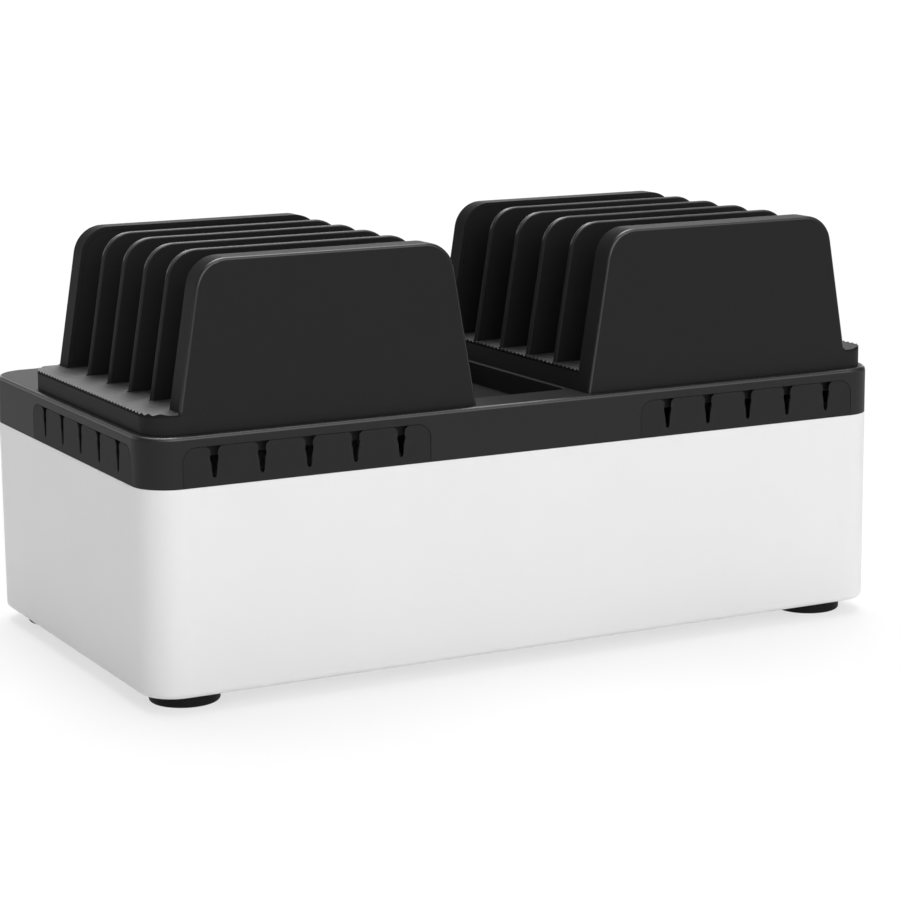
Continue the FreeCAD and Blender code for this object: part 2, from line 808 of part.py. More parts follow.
socket_floor = inlet_front - size.inlet_socket_depth
pins = []
for side in (-1, 0, 1):
    pin_x = inlet_x + side * size.inlet_pin_spread
    pin_z = fittings_z + (1 - 2 * abs(side)) * size.inlet_pin_rise
    pins.append(box(
        "Pin",
        (pin_x - size.inlet_pin_width / 2, socket_floor, pin_z - size.inlet_pin_height / 2),
        (pin_x + size.inlet_pin_width / 2, socket_floor + size.inlet_pin_length,
         pin_z + size.inlet_pin_height / 2)))
group("inlet_pins", pins)
inlet_screws = []
for side in (-1, 1):
    screw_x = inlet_x + side * size.inlet_screw_spread
    outer_end = inlet_front + size.inlet_screw_head_height
    inlet_screws.append(screw((screw_x, outer_end, fittings_z), "front", size.inlet_screw_radius,
                              size.inlet_screw_bite, size.inlet_screw_head_radius,
                              size.inlet_screw_head_height))
group("inlet_screws", inlet_screws)

# Power switch: a snap-in housing and a rocker that tips on two short pins

pivot_y = panel_face - size.rocker_pivot_depth
switch = new_body("switch_housing")
sketch = upright_sketch(switch, panel_face)
flange_half_width = size.switch_width / 2 + size.switch_lip
flange_half_height = size.switch_height / 2 + size.switch_lip
rectangle(sketch, switch_x - flange_half_width, fittings_z - flange_half_height,
          switch_x + flange_half_width, fittings_z + flange_half_height)
pad_down(switch, sketch, size.switch_flange)
sketch = upright_sketch(switch, panel_face + size.overrun)
rectangle(sketch, switch_x - size.switch_width / 2, fittings_z - size.switch_height / 2,
          switch_x + size.switch_width / 2, fittings_z + size.switch_height / 2)
pad_up(switch, sketch, size.switch_depth + size.overrun)
sketch = upright_sketch(switch, panel_face + size.switch_flange)
rectangle(sketch, switch_x - size.switch_well_width / 2, fittings_z - size.switch_well_height / 2,
          switch_x + size.switch_well_width / 2, fittings_z + size.switch_well_height / 2)
pocket_up(switch, sketch, size.switch_flange + size.switch_well_depth)
pin_length = size.rocker_width + 2 * size.rocker_pin_reach
pin_hole = size.rocker_pin_radius + size.rocker_pin_clearance
sketch = sketch_on(switch, "YZ_Plane", switch_x - pin_length / 2 - size.rocker_pin_clearance)
circle(sketch, pivot_y, fittings_z, pin_hole)
pocket_up(switch, sketch, pin_length + 2 * size.rocker_pin_clearance)

rocker = new_body("power_rocker")
sketch = sketch_on(rocker, "YZ_Plane", -size.rocker_width / 2)
outline(sketch, [
    (size.rocker_front, -size.rocker_half_height),
    (size.rocker_dip, zero),
    (size.rocker_front, size.rocker_half_height),
    (zero, size.rocker_half_height),
    (-size.rocker_back, zero),
    (zero, -size.rocker_half_height),
])
pad_up(rocker, sketch, size.rocker_width)
sketch = sketch_on(rocker, "YZ_Plane", -pin_length / 2)
circle(sketch, zero, zero, size.rocker_pin_radius)
pad_up(rocker, sketch, pin_length)
rocker.Placement = FreeCAD.Placement(FreeCAD.Vector(), FreeCAD.Rotation(FreeCAD.Vector(1, 0, 0), 1))
rocker.setExpression("Placement.Rotation.Angle", str(size.rocker_tilt))
place(rocker, switch_x, pivot_y, fittings_z)

# Breaker: a threaded bush through the panel, a nut outside, a body inside and a reset button

bush_front = panel_face + size.breaker_bush_reach
breaker = new_body("breaker_housing")
sketch = upright_sketch(breaker, panel_back)
rectangle(sketch, breaker_x - size.breaker_width / 2, fittings_z - size.breaker_height / 2,
          breaker_x + size.breaker_width / 2, fittings_z + size.breaker_height / 2)
pad_up(breaker, sketch, size.breaker_depth)
sketch = upright_sketch(breaker, bush_front)
circle(sketch, breaker_x, fittings_z, size.breaker_bush_radius)
pad_up(breaker, sketch, bush_front - panel_back + size.overrun)
button_front = bush_front + size.button_reach
button_back = button_front - size.button_length
sketch = upright_sketch(breaker, bush_front)
circle(sketch, breaker_x, fittings_z, size.button_radius + size.button_gap)
pocket_up(breaker, sketch, bush_front - button_back + size.button_travel + size.button_gap)
nut_ring = cylinder("NutRing", (breaker_x, panel_face, fittings_z), "back",
                    size.breaker_nut_radius, size.breaker_nut)
nut_bore = cylinder("NutBore", (breaker_x, panel_face, fittings_z), "back",
                    size.breaker_bush_radius + size.breaker_nut_gap, size.breaker_nut)
breaker_nut = cut("breaker_nut", nut_ring, nut_bore)
breaker_nut.Label = "breaker_nut"
parts.append(breaker_nut)
reset_button = cylinder("reset_button", (breaker_x, button_back, fittings_z), "back",
                        size.button_radius, size.button_length)
reset_button.Label = "reset_button"
parts.append(reset_button)

# Inner leads: round cords between the mains fittings and the two strips, bent with equal round corners


def lead(label, corners):
    """A round cord along straight runs joined by arcs of the bend radius."""
    points = [FreeCAD.Vector(*(value(number) for number in corner)) for corner in corners]
    bend = value(size.lead_bend)
    edges = []
    start = points[0]
    for before, corner, after in zip(points, points[1:], points[2:]):
        inward = (before - corner).normalize()
        onward = (after - corner).normalize()
        arc_start = corner + inward * bend
        arc_end = corner + onward * bend
        centre = corner + (inward + onward) * bend
        arc_middle = centre + (corner - centre).normalize() * bend
        edges.append(Part.LineSegment(start, arc_start).toShape())
        edges.append(Part.Arc(arc_start, arc_middle, arc_end).toShape())
        start = arc_end
    edges.append(Part.LineSegment(start, points[-1]).toShape())
    way = points[1] - points[0]
    ring = Part.Wire(Part.makeCircle(value(size.lead_radius), points[0], way))
    item = document.addObject("Part::Feature", label)
    item.Label = label
    item.Shape = Part.Wire(edges).makePipeShell([ring], True, False)
    parts.append(item)


inlet_back = inlet_front - size.inlet_depth
switch_back = panel_face - size.switch_depth
breaker_back = panel_back - size.breaker_depth
lead_z = fittings_z
entry_z = floor_top + size.lead_entry_height
rear_strip_back = rear_strip_y + half_strip_width
inlet_turn = inlet_back - size.lead_run
breaker_turn = breaker_back - size.lead_run
switch_right = switch_x + size.lead_spread
switch_left = switch_x - size.lead_spread
breaker_right = breaker_x + size.lead_spread
breaker_left = breaker_x - size.lead_spread
lead("inlet_lead", [(inlet_x, inlet_back, lead_z), (inlet_x, inlet_turn, lead_z),
                    (switch_right, inlet_turn, lead_z), (switch_right, switch_back, lead_z)])
lead("switch_lead", [(switch_left, switch_back, lead_z), (switch_left, breaker_turn, lead_z),
                     (breaker_right, breaker_turn, lead_z), (breaker_right, breaker_back, lead_z)])
lead("strip_lead", [(breaker_left, breaker_back, lead_z), (breaker_left, breaker_turn, lead_z),
                    (breaker_left, breaker_turn, entry_z), (breaker_left, rear_strip_back, entry_z)])
link_front = front_strip_y + half_strip_width
link_back = rear_strip_y - half_strip_width
link_lead = cylinder("link_lead", (size.link_lead_inset - half_strip, link_front, entry_z), "back",
                     size.lead_radius, link_back - link_front)
link_lead.Label = "link_lead"
parts.append(link_lead)

# Trays, main planes: the left tray mirrors the right one, so each place along X takes the side's sign

tray_outer_x = half_width - size.tray_side_inset
tray_front = size.tray_front_inset - half_depth
tray_back = tray_front + size.tray_depth
tray_middle = (tray_front + tray_back) / 2
shelf_top = deck_top + size.tray_base_height
mat_floor = shelf_top - size.mat_sheet - size.rib_height
tray_hollow = mat_floor - size.tray_floor
end_top = deck_top + size.end_top_height
slots_front = tray_front + size.end_thickness
slots_back = tray_back - size.end_thickness
tray_centre_x = (tray_outer_x + size.tray_inner_x) / 2
divider_pitch = (slots_back - slots_front + size.divider_thickness) / (size.divider_count + 1)


def outer_edge(z, inset):
    """How far out a leaning wall reaches at height z."""
    return tray_outer_x - size.shelf_width - inset - (z - shelf_top) * size.side_lean_share


def inner_edge(z, inset):
    """How far in a leaning wall reaches at height z."""
    return size.tray_inner_x + inset + (z - deck_top) * size.side_lean_share


strip_inner_x = outer_edge(shelf_top, -size.mat_gap)


def leaning_outline(sketch, sign, low, high, inset):
    """The outline of an end wall or divider, narrower at the top than at the foot."""
    outline(sketch, [
        (sign * inner_edge(low, inset), low),
        (sign * outer_edge(low, inset), low),
        (sign * outer_edge(high, inset), high),
        (sign * inner_edge(high, inset), high),
    ])


def top_corner_of(sign, z, inset):
    """A test for the two edges along Y at the top corners of a leaning outline."""
    def test(edge):
        if not runs_along(edge, (0, 1, 0)) or not near(edge.CenterOfMass.z, z):
            return False
        middle_x = edge.CenterOfMass.x
        return near(middle_x, sign * outer_edge(z, inset)) or near(middle_x, sign * inner_edge(z, inset))
    return test


def face_rim(y):
    """A test for the edges that bound the wall face at depth y, above the tray's shelf."""
    def test(edge):
        bounds = edge.BoundBox
        flat = near(bounds.YMin, y) and near(bounds.YMax, y)
        return flat and bounds.ZMax > value(shelf_top + size.overrun)
    return test


def peg_places(sign):
    """The two places where the deck's pegs stand: under the middle of the first and the last slot."""
    half_slot = (divider_pitch - size.divider_thickness) / 2
    for y in (slots_front + half_slot, slots_back - half_slot):
        yield sign * tray_centre_x, y


def divider_planes():
    """The middle planes of the thin dividers, evenly spaced between the end walls."""
    for number in range(SIZES["divider_count"]):
        yield slots_front - size.divider_thickness / 2 + divider_pitch * (number + 1)


def divider_screw_places(sign):
    """The screws under each thin divider, in a row along it."""
    low_x = inner_edge(mat_floor, size.divider_inset)
    high_x = outer_edge(mat_floor, size.divider_inset)
    for plane in divider_planes():
        for side in (-1, 0, 1):
            yield sign * ((low_x + high_x) / 2 + side * (high_x - low_x) * size.divider_screw_share), plane


# Deck: a black moulding with a collar that is flush with the housing and notched round the combs,
# a trough between the trays, pegs for the trays and four guide pins that drop into the corner posts

deck = new_body("top_deck")
plate_bottom = deck_top - size.deck_plate
sketch = flat_sketch(deck, base_top)
rectangle(sketch, -half_width, -half_depth, half_width, half_depth)
pad_up(deck, sketch, size.deck_height)
deck_inside_x = half_width - size.deck_wall
deck_inside_y = half_depth - size.deck_wall
sketch = flat_sketch(deck, base_top)
rectangle(sketch, -deck_inside_x, -deck_inside_y, deck_inside_x, deck_inside_y)
pocket_up(deck, sketch, size.deck_height - size.deck_plate)
fillet(deck, size.corner_radius, upright_at(half_width, half_depth))
fillet(deck, size.corner_radius - size.deck_wall, upright_at(deck_inside_x, deck_inside_y))
fillet(deck, size.deck_edge_radius, level_at(deck_top))

trough_front = tray_middle - size.trough_length / 2
trough_back = tray_middle + size.trough_length / 2
trough_floor = deck_top - size.trough_depth
sketch = flat_sketch(deck, plate_bottom + size.overrun)
rectangle(sketch, -size.trough_half_width - size.trough_wall, trough_front - size.trough_wall,
          size.trough_half_width + size.trough_wall, trough_back + size.trough_wall)
pad_down(deck, sketch, plate_bottom + size.overrun - trough_floor + size.trough_wall)
sketch = flat_sketch(deck, deck_top)
rectangle(sketch, -size.trough_half_width, trough_front, size.trough_half_width, trough_back)
pocket_down(deck, sketch, size.trough_depth)


def trough_corner(edge):
    """The upright edges inside the trough."""
    if not runs_along(edge, (0, 0, 1)) or not near(abs(edge.CenterOfMass.x), size.trough_half_width):
        return False
    return near(edge.CenterOfMass.y, trough_front) or near(edge.CenterOfMass.y, trough_back)


def trough_rim(edge):
    """The edges round the trough's mouth."""
    bounds = edge.BoundBox
    inside = max(abs(bounds.XMin), abs(bounds.XMax)) < value(size.trough_half_width + size.trough_wall)
    return level_at(deck_top)(edge) and inside


fillet(deck, size.trough_corner_radius, trough_corner)
fillet(deck, size.trough_rim_radius, trough_rim)

notch_top = base_top + size.comb_height + size.comb_gap
notch_radius = size.comb_corner_radius + size.comb_gap
half_front_notch = size.front_comb_width / 2 + size.comb_gap
half_side_notch = size.side_comb_width / 2 + size.comb_gap
side_notch_low = side_comb_y - half_side_notch
side_notch_high = side_comb_y + half_side_notch
sketch = upright_sketch(deck, -half_depth)
for centre in (-front_comb_x, front_comb_x):
    rectangle(sketch, centre - half_front_notch, base_top - size.overrun,
              centre + half_front_notch, notch_top)
pocket_down(deck, sketch, size.comb_thickness + size.comb_gap)


def front_notch_corner(edge):
    """The top corner edges of the front notches."""
    return runs_along(edge, (0, 1, 0)) and near(edge.CenterOfMass.z, notch_top)


def side_notch_corner(edge):
    """The top corner edges of the side notches."""
    if not runs_along(edge, (1, 0, 0)) or not near(edge.CenterOfMass.z, notch_top):
        return False
    return near(edge.CenterOfMass.y, side_notch_low) or near(edge.CenterOfMass.y, side_notch_high)


fillet(deck, notch_radius, front_notch_corner)
sketch = sketch_on(deck, "YZ_Plane", -half_width)
rectangle(sketch, side_notch_low, base_top - size.overrun, side_notch_high, notch_top)
pocket_up(deck, sketch, size.comb_thickness + size.comb_gap)
sketch = sketch_on(deck, "YZ_Plane", half_width)
rectangle(sketch, side_notch_low, base_top - size.overrun, side_notch_high, notch_top)
pocket_down(deck, sketch, size.comb_thickness + size.comb_gap)
fillet(deck, notch_radius, side_notch_corner)

keeper_near = size.comb_thickness + size.comb_gap
keeper_far = keeper_near + size.keeper_thickness
half_front = size.front_comb_width / 2
half_side = size.side_comb_width / 2
sketch = flat_sketch(deck, plate_bottom + size.overrun)
for centre in (-front_comb_x, front_comb_x):
    rectangle(sketch, centre - half_front, keeper_near - half_depth,
              centre + half_front, keeper_far - half_depth)
for sign in (-1, 1):
    ends = (sign * (half_width - keeper_far), sign * (half_width - keeper_near))
    rectangle(sketch, ends[0], side_comb_y - half_side, ends[1], side_comb_y + half_side)
pad_down(deck, sketch, size.keeper_drop + size.overrun)
sketch = flat_sketch(deck, plate_bottom + size.overrun)
for x, y in CORNERS.values():
    circle(sketch, x, y, size.guide_pin_radius)
pad_down(deck, sketch, plate_bottom + size.overrun - base_top + size.guide_pin_reach)
sketch = flat_sketch(deck, deck_top - size.overrun)
for sign in (-1, 1):
    for x, y in peg_places(sign):
        circle(sketch, x, y, size.peg_radius)
pad_up(deck, sketch, size.peg_height + size.overrun)

# Trays: a moulded body with two hollow end walls, panels that close them, a ribbed mat and thin dividers


def tray_body(side, sign):
    """The moulding: a low box open below, with an end wall at the front and at the back."""
    body = new_body(f"{side}_tray_body")
    section = upright_sketch(body, tray_front)
    outline(section, [
        (sign * size.tray_inner_x, deck_top),
        (sign * tray_outer_x, deck_top),
        (sign * tray_outer_x, shelf_top),
        (sign * inner_edge(shelf_top, zero), shelf_top),
    ])
    pad_down(body, section, size.tray_depth)

    def outer_corner(edge):
        return runs_along(edge, (0, 0, 1)) and near(edge.CenterOfMass.x, sign * tray_outer_x)

    fillet(body, size.tray_corner_radius, outer_corner)
    for low_y in (tray_front, slots_back):
        wall = upright_sketch(body, low_y)
        leaning_outline(wall, sign, shelf_top - size.overrun, end_top, zero)
        pad_down(body, wall, size.end_thickness)
    rim_low = shelf_top + size.end_rim
    rim_high = end_top - size.end_rim
    for depth, cut_towards in ((slots_front, pocket_up), (slots_back, pocket_down)):
        inside = upright_sketch(body, depth)
        leaning_outline(inside, sign, rim_low, rim_high, size.end_rim)
        cut_towards(body, inside, size.end_thickness - size.end_skin)
    fillet(body, size.end_corner_radius, top_corner_of(sign, end_top, zero))
    fillet(body, size.end_corner_radius - size.end_rim, top_corner_of(sign, rim_high, size.end_rim))
    fillet(body, size.end_edge_radius, face_rim(tray_front))
    fillet(body, size.end_edge_radius, face_rim(tray_back))

    hollow = flat_sketch(body, deck_top)
    low_x = size.tray_inner_x + size.tray_wall
    high_x = tray_outer_x - size.tray_wall
    low_y = tray_front + size.tray_wall
    high_y = tray_back - size.tray_wall
    cut_back = size.tray_corner_radius - size.tray_wall
    outline(hollow, [
        (sign * low_x, low_y), (sign * (high_x - cut_back), low_y), (sign * high_x, low_y + cut_back),
        (sign * high_x, high_y - cut_back), (sign * (high_x - cut_back), high_y), (sign * low_x, high_y),
    ])
    pocket_up(body, hollow, tray_hollow - deck_top)
    recess = flat_sketch(body, shelf_top)
    inner_end = size.tray_inner_x - size.overrun
    outer_end = tray_outer_x + size.overrun
    front_end = tray_front - size.overrun
    back_end = tray_back + size.overrun
    outline(recess, [
        (sign * inner_end, slots_front), (sign * strip_inner_x, slots_front),
        (sign * strip_inner_x, front_end), (sign * outer_end, front_end),
        (sign * outer_end, back_end), (sign * strip_inner_x, back_end),
        (sign * strip_inner_x, slots_back), (sign * inner_end, slots_back),
    ])
    pocket_down(body, recess, shelf_top - mat_floor)

    boss_length = size.end_thickness - size.end_skin - size.end_panel
    for depth, pad_towards in ((tray_front + size.end_skin, pad_down), (tray_back - size.end_skin, pad_up)):
        bosses = upright_sketch(body, depth)
        for x, z in boss_places(sign):
            circle(bosses, x, z, size.end_boss_radius)
        pad_towards(body, bosses, boss_length)
    for depth, cut_towards in ((slots_front - size.end_panel, pocket_up),
                               (slots_back + size.end_panel, pocket_down)):
        holes = upright_sketch(body, depth)
        for x, z in boss_places(sign):
            circle(holes, x, z, size.end_screw_radius)
        cut_towards(body, holes, size.end_screw_bite)

    grooves = flat_sketch(body, mat_floor)
    half_groove = size.divider_thickness / 2 + size.divider_gap
    for plane in divider_planes():
        rectangle(grooves, sign * (inner_edge(mat_floor, size.divider_inset) - size.divider_gap),
                  plane - half_groove,
                  sign * (outer_edge(mat_floor, size.divider_inset) + size.divider_gap), plane + half_groove)
    pocket_down(body, grooves, size.divider_groove)
    holes = flat_sketch(body, tray_hollow)
    for x, y in divider_screw_places(sign):
        circle(holes, x, y, size.divider_screw_radius + size.divider_screw_gap)
    pocket_up(body, holes, size.tray_floor)
    sockets = flat_sketch(body, deck_top)
    for x, y in peg_places(sign):
        circle(sockets, x, y, size.peg_radius + size.peg_clearance + size.tray_wall)
        circle(sockets, x, y, size.peg_radius + size.peg_clearance)
    pad_up(body, sockets, tray_hollow - deck_top)


def boss_places(sign):
    """Screw places of an end panel: two low and two high, in from the leaning sides."""
    for height in (size.end_boss_low, size.end_boss_high):
        z = shelf_top + height
        yield sign * (inner_edge(z, size.end_boss_inset_x)), z
        yield sign * (outer_edge(z, size.end_boss_inset_x)), z


def end_panel(label, sign, depth):
    """The plate that closes a hollow end wall, flush with its slot side."""
    body = new_body(label)
    inset = size.end_rim + size.end_panel_gap
    high = end_top - inset
    plate = upright_sketch(body, depth)
    leaning_outline(plate, sign, shelf_top + inset, high, inset)
    pad_down(body, plate, size.end_panel)
    fillet(body, size.end_corner_radius - inset, top_corner_of(sign, high, inset))
    holes = upright_sketch(body, depth)
    for x, z in boss_places(sign):
        circle(holes, x, z, size.end_screw_radius)
    pocket_down(body, holes, size.end_panel + size.overrun)


def corner_cut(sketch, sign, y, way):
    """The outside of the mat's round corner at the tray's front or back end, in short straight steps."""
    radius = size.tray_corner_radius
    outer_end = tray_outer_x + size.overrun
    points = [(sign * outer_end, y - way * size.overrun)]
    for step in range(SIZES["mat_corner_steps"] + 1):
        angle = math.pi / 2 * step / SIZES["mat_corner_steps"]
        points.append((sign * (tray_outer_x - radius * (1 - math.cos(angle))),
                       y + way * radius * (1 - math.sin(angle))))
    points.insert(1, (sign * outer_end, y + way * radius))
    points.append((sign * (tray_outer_x - radius), y - way * size.overrun))
    outline(sketch, points)


def tray_mat(side, sign):
    """A rubber sheet with ribs along X, flush with the tray's sides, slit for the dividers.

    Between the end walls it fills the tray, and outside them it runs on along the shelf to both ends.
    """
    body = new_body(f"{side}_tray_mat")
    low_y = slots_front + size.mat_gap
    high_y = slots_back - size.mat_gap
    low_x = inner_edge(mat_floor, size.mat_gap)
    sheet_outline = flat_sketch(body, mat_floor)
    rectangle(sheet_outline, sign * low_x, tray_front, sign * tray_outer_x, tray_back)
    pad_up(body, sheet_outline, size.mat_sheet)
    left_x = low_x if sign > 0 else -tray_outer_x
    rib = sketch_on(body, "YZ_Plane", left_x)
    rib_bottom = mat_floor + size.mat_sheet
    rib_pitch = size.tray_depth / size.rib_count
    first = tray_front + rib_pitch / 2
    outline(rib, [
        (first - size.rib_foot / 2, rib_bottom - size.mat_sheet / 2),
        (first + size.rib_foot / 2, rib_bottom - size.mat_sheet / 2),
        (first + size.rib_foot / 2, rib_bottom),
        (first + size.rib_crest / 2, shelf_top),
        (first - size.rib_crest / 2, shelf_top),
        (first - size.rib_foot / 2, rib_bottom),
    ])
    rib_pad = pad_up(body, rib, tray_outer_x - low_x)
    pattern(body, rib_pad, rib, size.tray_depth - rib_pitch, size.rib_count)
    trims = flat_sketch(body, shelf_top)
    strip_x = strip_inner_x + size.mat_gap
    for y, slot_y, way in ((tray_front, low_y, 1), (tray_back, high_y, -1)):
        rectangle(trims, sign * (low_x - size.overrun), y - way * size.overrun, sign * strip_x, slot_y)
        corner_cut(trims, sign, y, way)
    pocket_down(body, trims, shelf_top - mat_floor + size.overrun)
    slits = flat_sketch(body, shelf_top)
    half_slit = size.divider_thickness / 2 + size.mat_gap
    for plane in divider_planes():
        rectangle(slits, sign * (inner_edge(mat_floor, size.divider_inset) - size.mat_gap),
                  plane - half_slit,
                  sign * (outer_edge(mat_floor, size.divider_inset) + size.mat_gap), plane + half_slit)
    pocket_down(body, slits, shelf_top - mat_floor + size.overrun)


def divider(label, sign, plane):
    """A thin upright plate that stands in a groove of the tray's floor."""
    body = new_body(label)
    foot = mat_floor - size.divider_groove
    front = plane - size.divider_thickness / 2
    plate = upright_sketch(body, front)
    leaning_outline(plate, sign, mat_floor, end_top, size.divider_inset)
    pad_down(body, plate, size.divider_thickness)
    fillet(body, size.end_corner_radius, top_corner_of(sign, end_top, size.divider_inset))
    for depth in (front, front + size.divider_thickness):
        fillet(body, size.divider_edge_radius, face_rim(depth))
    tongue = flat_sketch(body, foot)
    rectangle(tongue, sign * inner_edge(mat_floor, size.divider_inset), front,
              sign * outer_edge(mat_floor, size.divider_inset), front + size.divider_thickness)
    pad_up(body, tongue, size.divider_groove)
    holes = flat_sketch(body, foot)
    for x, y in divider_screw_places(sign):
        if y == plane:
            circle(holes, x, y, size.divider_screw_radius + size.divider_screw_gap)
    pocket_up(body, holes, size.divider_screw_bite)


for side, sign in (("left", -1), ("right", 1)):
    tray_body(side, sign)
    end_panel(f"{side}_tray_front_panel", sign, slots_front - size.end_panel)
    end_panel(f"{side}_tray_rear_panel", sign, slots_back)
    tray_mat(side, sign)
    for number, plane in enumerate(divider_planes(), start=1):
        divider(f"{side}_tray_divider_{number}", sign, plane)
    panel_screws = []
    for depth, way in ((slots_front, "front"), (slots_back, "back")):
        step = REACH[way][1]
        for x, z in boss_places(sign):
            start = (x, depth - step * size.end_screw_head_height, z)
            panel_screws.append(screw(start, way, size.end_screw_radius, size.end_screw_bite,
                                      size.end_screw_head_radius, size.end_screw_head_height))
    group(f"{side}_tray_panel_screws", panel_screws)
    divider_screws = []
    for x, y in divider_screw_places(sign):
        start = (x, y, tray_hollow - size.divider_screw_head_height)
        divider_screws.append(screw(start, "up", size.divider_screw_radius, size.divider_screw_bite,
                                    size.divider_screw_head_radius, size.divider_screw_head_height))
    group(f"{side}_tray_divider_screws", divider_screws)

# Check every object, then write each sub-part to its own file

document.recompute()
for item in document.Objects:
    if "Invalid" in item.State or "Error" in item.State:
        raise ValueError(f"{item.Label} could not be built: {item.State}")
for part in parts:
    if part.Shape.isNull() or not part.Shape.isValid():
        raise ValueError(f"{part.Label} has no valid shape")
os.makedirs("parts", exist_ok=True)
for part in parts:
    part.Shape.exportStep(f"parts/{part.Label}.step")
    print(part.Label, len(part.Shape.Solids), round(part.Shape.Volume))
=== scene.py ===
import math

import bpy
import numpy as np
from mathutils import Matrix, Vector


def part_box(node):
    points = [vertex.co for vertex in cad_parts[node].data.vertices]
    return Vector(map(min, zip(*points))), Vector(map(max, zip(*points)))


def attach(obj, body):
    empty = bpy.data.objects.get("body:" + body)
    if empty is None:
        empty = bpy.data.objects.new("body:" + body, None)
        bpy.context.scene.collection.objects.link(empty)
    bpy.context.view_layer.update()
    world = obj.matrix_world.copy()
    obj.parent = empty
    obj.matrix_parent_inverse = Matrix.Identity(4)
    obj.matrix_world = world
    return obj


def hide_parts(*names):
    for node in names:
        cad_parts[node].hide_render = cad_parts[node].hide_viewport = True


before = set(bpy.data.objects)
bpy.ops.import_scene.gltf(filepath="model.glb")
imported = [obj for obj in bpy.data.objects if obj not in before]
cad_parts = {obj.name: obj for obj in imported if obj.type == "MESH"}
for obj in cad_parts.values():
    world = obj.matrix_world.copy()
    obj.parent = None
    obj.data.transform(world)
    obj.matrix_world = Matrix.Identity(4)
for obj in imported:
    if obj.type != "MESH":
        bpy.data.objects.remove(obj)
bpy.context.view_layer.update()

# Base housing: one white moulding, open at the top, that holds the strips and the adapters.
# The mould's spark-eroded walls leave a fine even grain, and handling rubs the edges a little smoother.


def new_group(name, inputs, outputs):
    """An empty shader group; sockets called Vector or Normal carry vectors and the others plain values."""
    group = bpy.data.node_groups.new(name, "ShaderNodeTree")
    for way, sockets in (("INPUT", inputs), ("OUTPUT", outputs)):
        for socket in sockets:
            kind = "NodeSocketVector" if socket in ("Vector", "Normal") else "NodeSocketFloat"
            group.interface.new_socket(socket, in_out=way, socket_type=kind)
    return group, group.nodes.new("NodeGroupInput"), group.nodes.new("NodeGroupOutput")


def math_node(tree, operation, first, second):
    """A Math node on two sockets or numbers; gives its output socket."""
    node = tree.nodes.new("ShaderNodeMath")
    node.operation = operation
    for place, source in enumerate((first, second)):
        if isinstance(source, (int, float)):
            node.inputs[place].default_value = source
        else:
            tree.links.new(source, node.inputs[place])
    return node.outputs[0]


def noise_node(tree, vector, scale, detail):
    """Noise about one half, from a vector socket and a scale per metre."""
    node = tree.nodes.new("ShaderNodeTexNoise")
    node.inputs["Detail"].default_value = detail
    tree.links.new(vector, node.inputs["Vector"])
    if isinstance(scale, (int, float)):
        node.inputs["Scale"].default_value = scale
    else:
        tree.links.new(scale, node.inputs["Scale"])
    return node.outputs["Fac"]


def stepped(tree, source, low, high):
    """A smooth step of a socket from 0 at the low value to 1 at the high value."""
    node = tree.nodes.new("ShaderNodeMapRange")
    node.interpolation_type = "SMOOTHSTEP"
    node.inputs["From Min"].default_value = low
    node.inputs["From Max"].default_value = high
    tree.links.new(source, node.inputs["Value"])
    return node.outputs["Result"]


def make_grain_group():
    """Moulded surface: Flow is noise a few centimetres wide, Grain is noise as fine as the mould's texture,
    Normal rounds sharp edges over the edge width, Rub And Highlight is how far it leaves the face's own
    normal, the mask of rubbed edges that also carries a painted edge highlight, and Polish is 1 on upper edge
    rounds, which lean between upright and level and are handled most.
    Face Polish is 1 on rounds that lean up and turn from a side to the front or the back."""
    flow_scale = 16.0
    flow_detail = 3.0
    grain_detail = 4.0
    bevel_samples = 4
    rub_and_highlight_gain = 6.0
    leaves_upright = (0.2, 0.4)
    leaves_level = (0.99, 0.93)
    leaves_side = (0.1, 0.35)
    leaves_front = (0.99, 0.94)
    leans_up = (0.04, 0.1)
    group, entry, leave = new_group(
        "moulded_grain", ("Vector", "Grain Scale", "Edge Width"),
        ("Flow", "Grain", "Rub And Highlight", "Polish", "Face Polish", "Normal"))
    flow = noise_node(group, entry.outputs["Vector"], flow_scale, flow_detail)
    grain = noise_node(group, entry.outputs["Vector"], entry.outputs["Grain Scale"], grain_detail)
    rounded = group.nodes.new("ShaderNodeBevel")
    rounded.samples = bevel_samples
    group.links.new(entry.outputs["Edge Width"], rounded.inputs["Radius"])
    face = group.nodes.new("ShaderNodeNewGeometry")
    along = group.nodes.new("ShaderNodeVectorMath")
    along.operation = "DOT_PRODUCT"
    group.links.new(rounded.outputs["Normal"], along.inputs[0])
    group.links.new(face.outputs["True Normal"], along.inputs[1])
    off_face = math_node(group, "SUBTRACT", 1.0, along.outputs["Value"])
    rub_and_highlight = math_node(group, "MULTIPLY", off_face, rub_and_highlight_gain)
    rub_and_highlight = math_node(group, "MINIMUM", rub_and_highlight, 1.0)
    lean = group.nodes.new("ShaderNodeSeparateXYZ")
    group.links.new(face.outputs["Normal"], lean.inputs[0])
    off_upright = stepped(group, lean.outputs["Z"], *leaves_upright)
    off_level = stepped(group, lean.outputs["Z"], *leaves_level)
    polish = math_node(group, "MULTIPLY", off_upright, off_level)
    to_front = math_node(group, "ABSOLUTE", lean.outputs["Y"], 0.0)
    off_side = stepped(group, to_front, *leaves_side)
    off_front = stepped(group, to_front, *leaves_front)
    turning = math_node(group, "MULTIPLY", off_side, off_front)
    upward_share = stepped(group, lean.outputs["Z"], *leans_up)
    face_polish = math_node(group, "MULTIPLY", turning, upward_share)
    for socket, source in (("Flow", flow), ("Grain", grain), ("Rub And Highlight", rub_and_highlight), ("Polish", polish),
                           ("Face Polish", face_polish), ("Normal", rounded.outputs["Normal"])):
        group.links.new(source, leave.inputs[socket])
    return group


grain_group = make_grain_group()


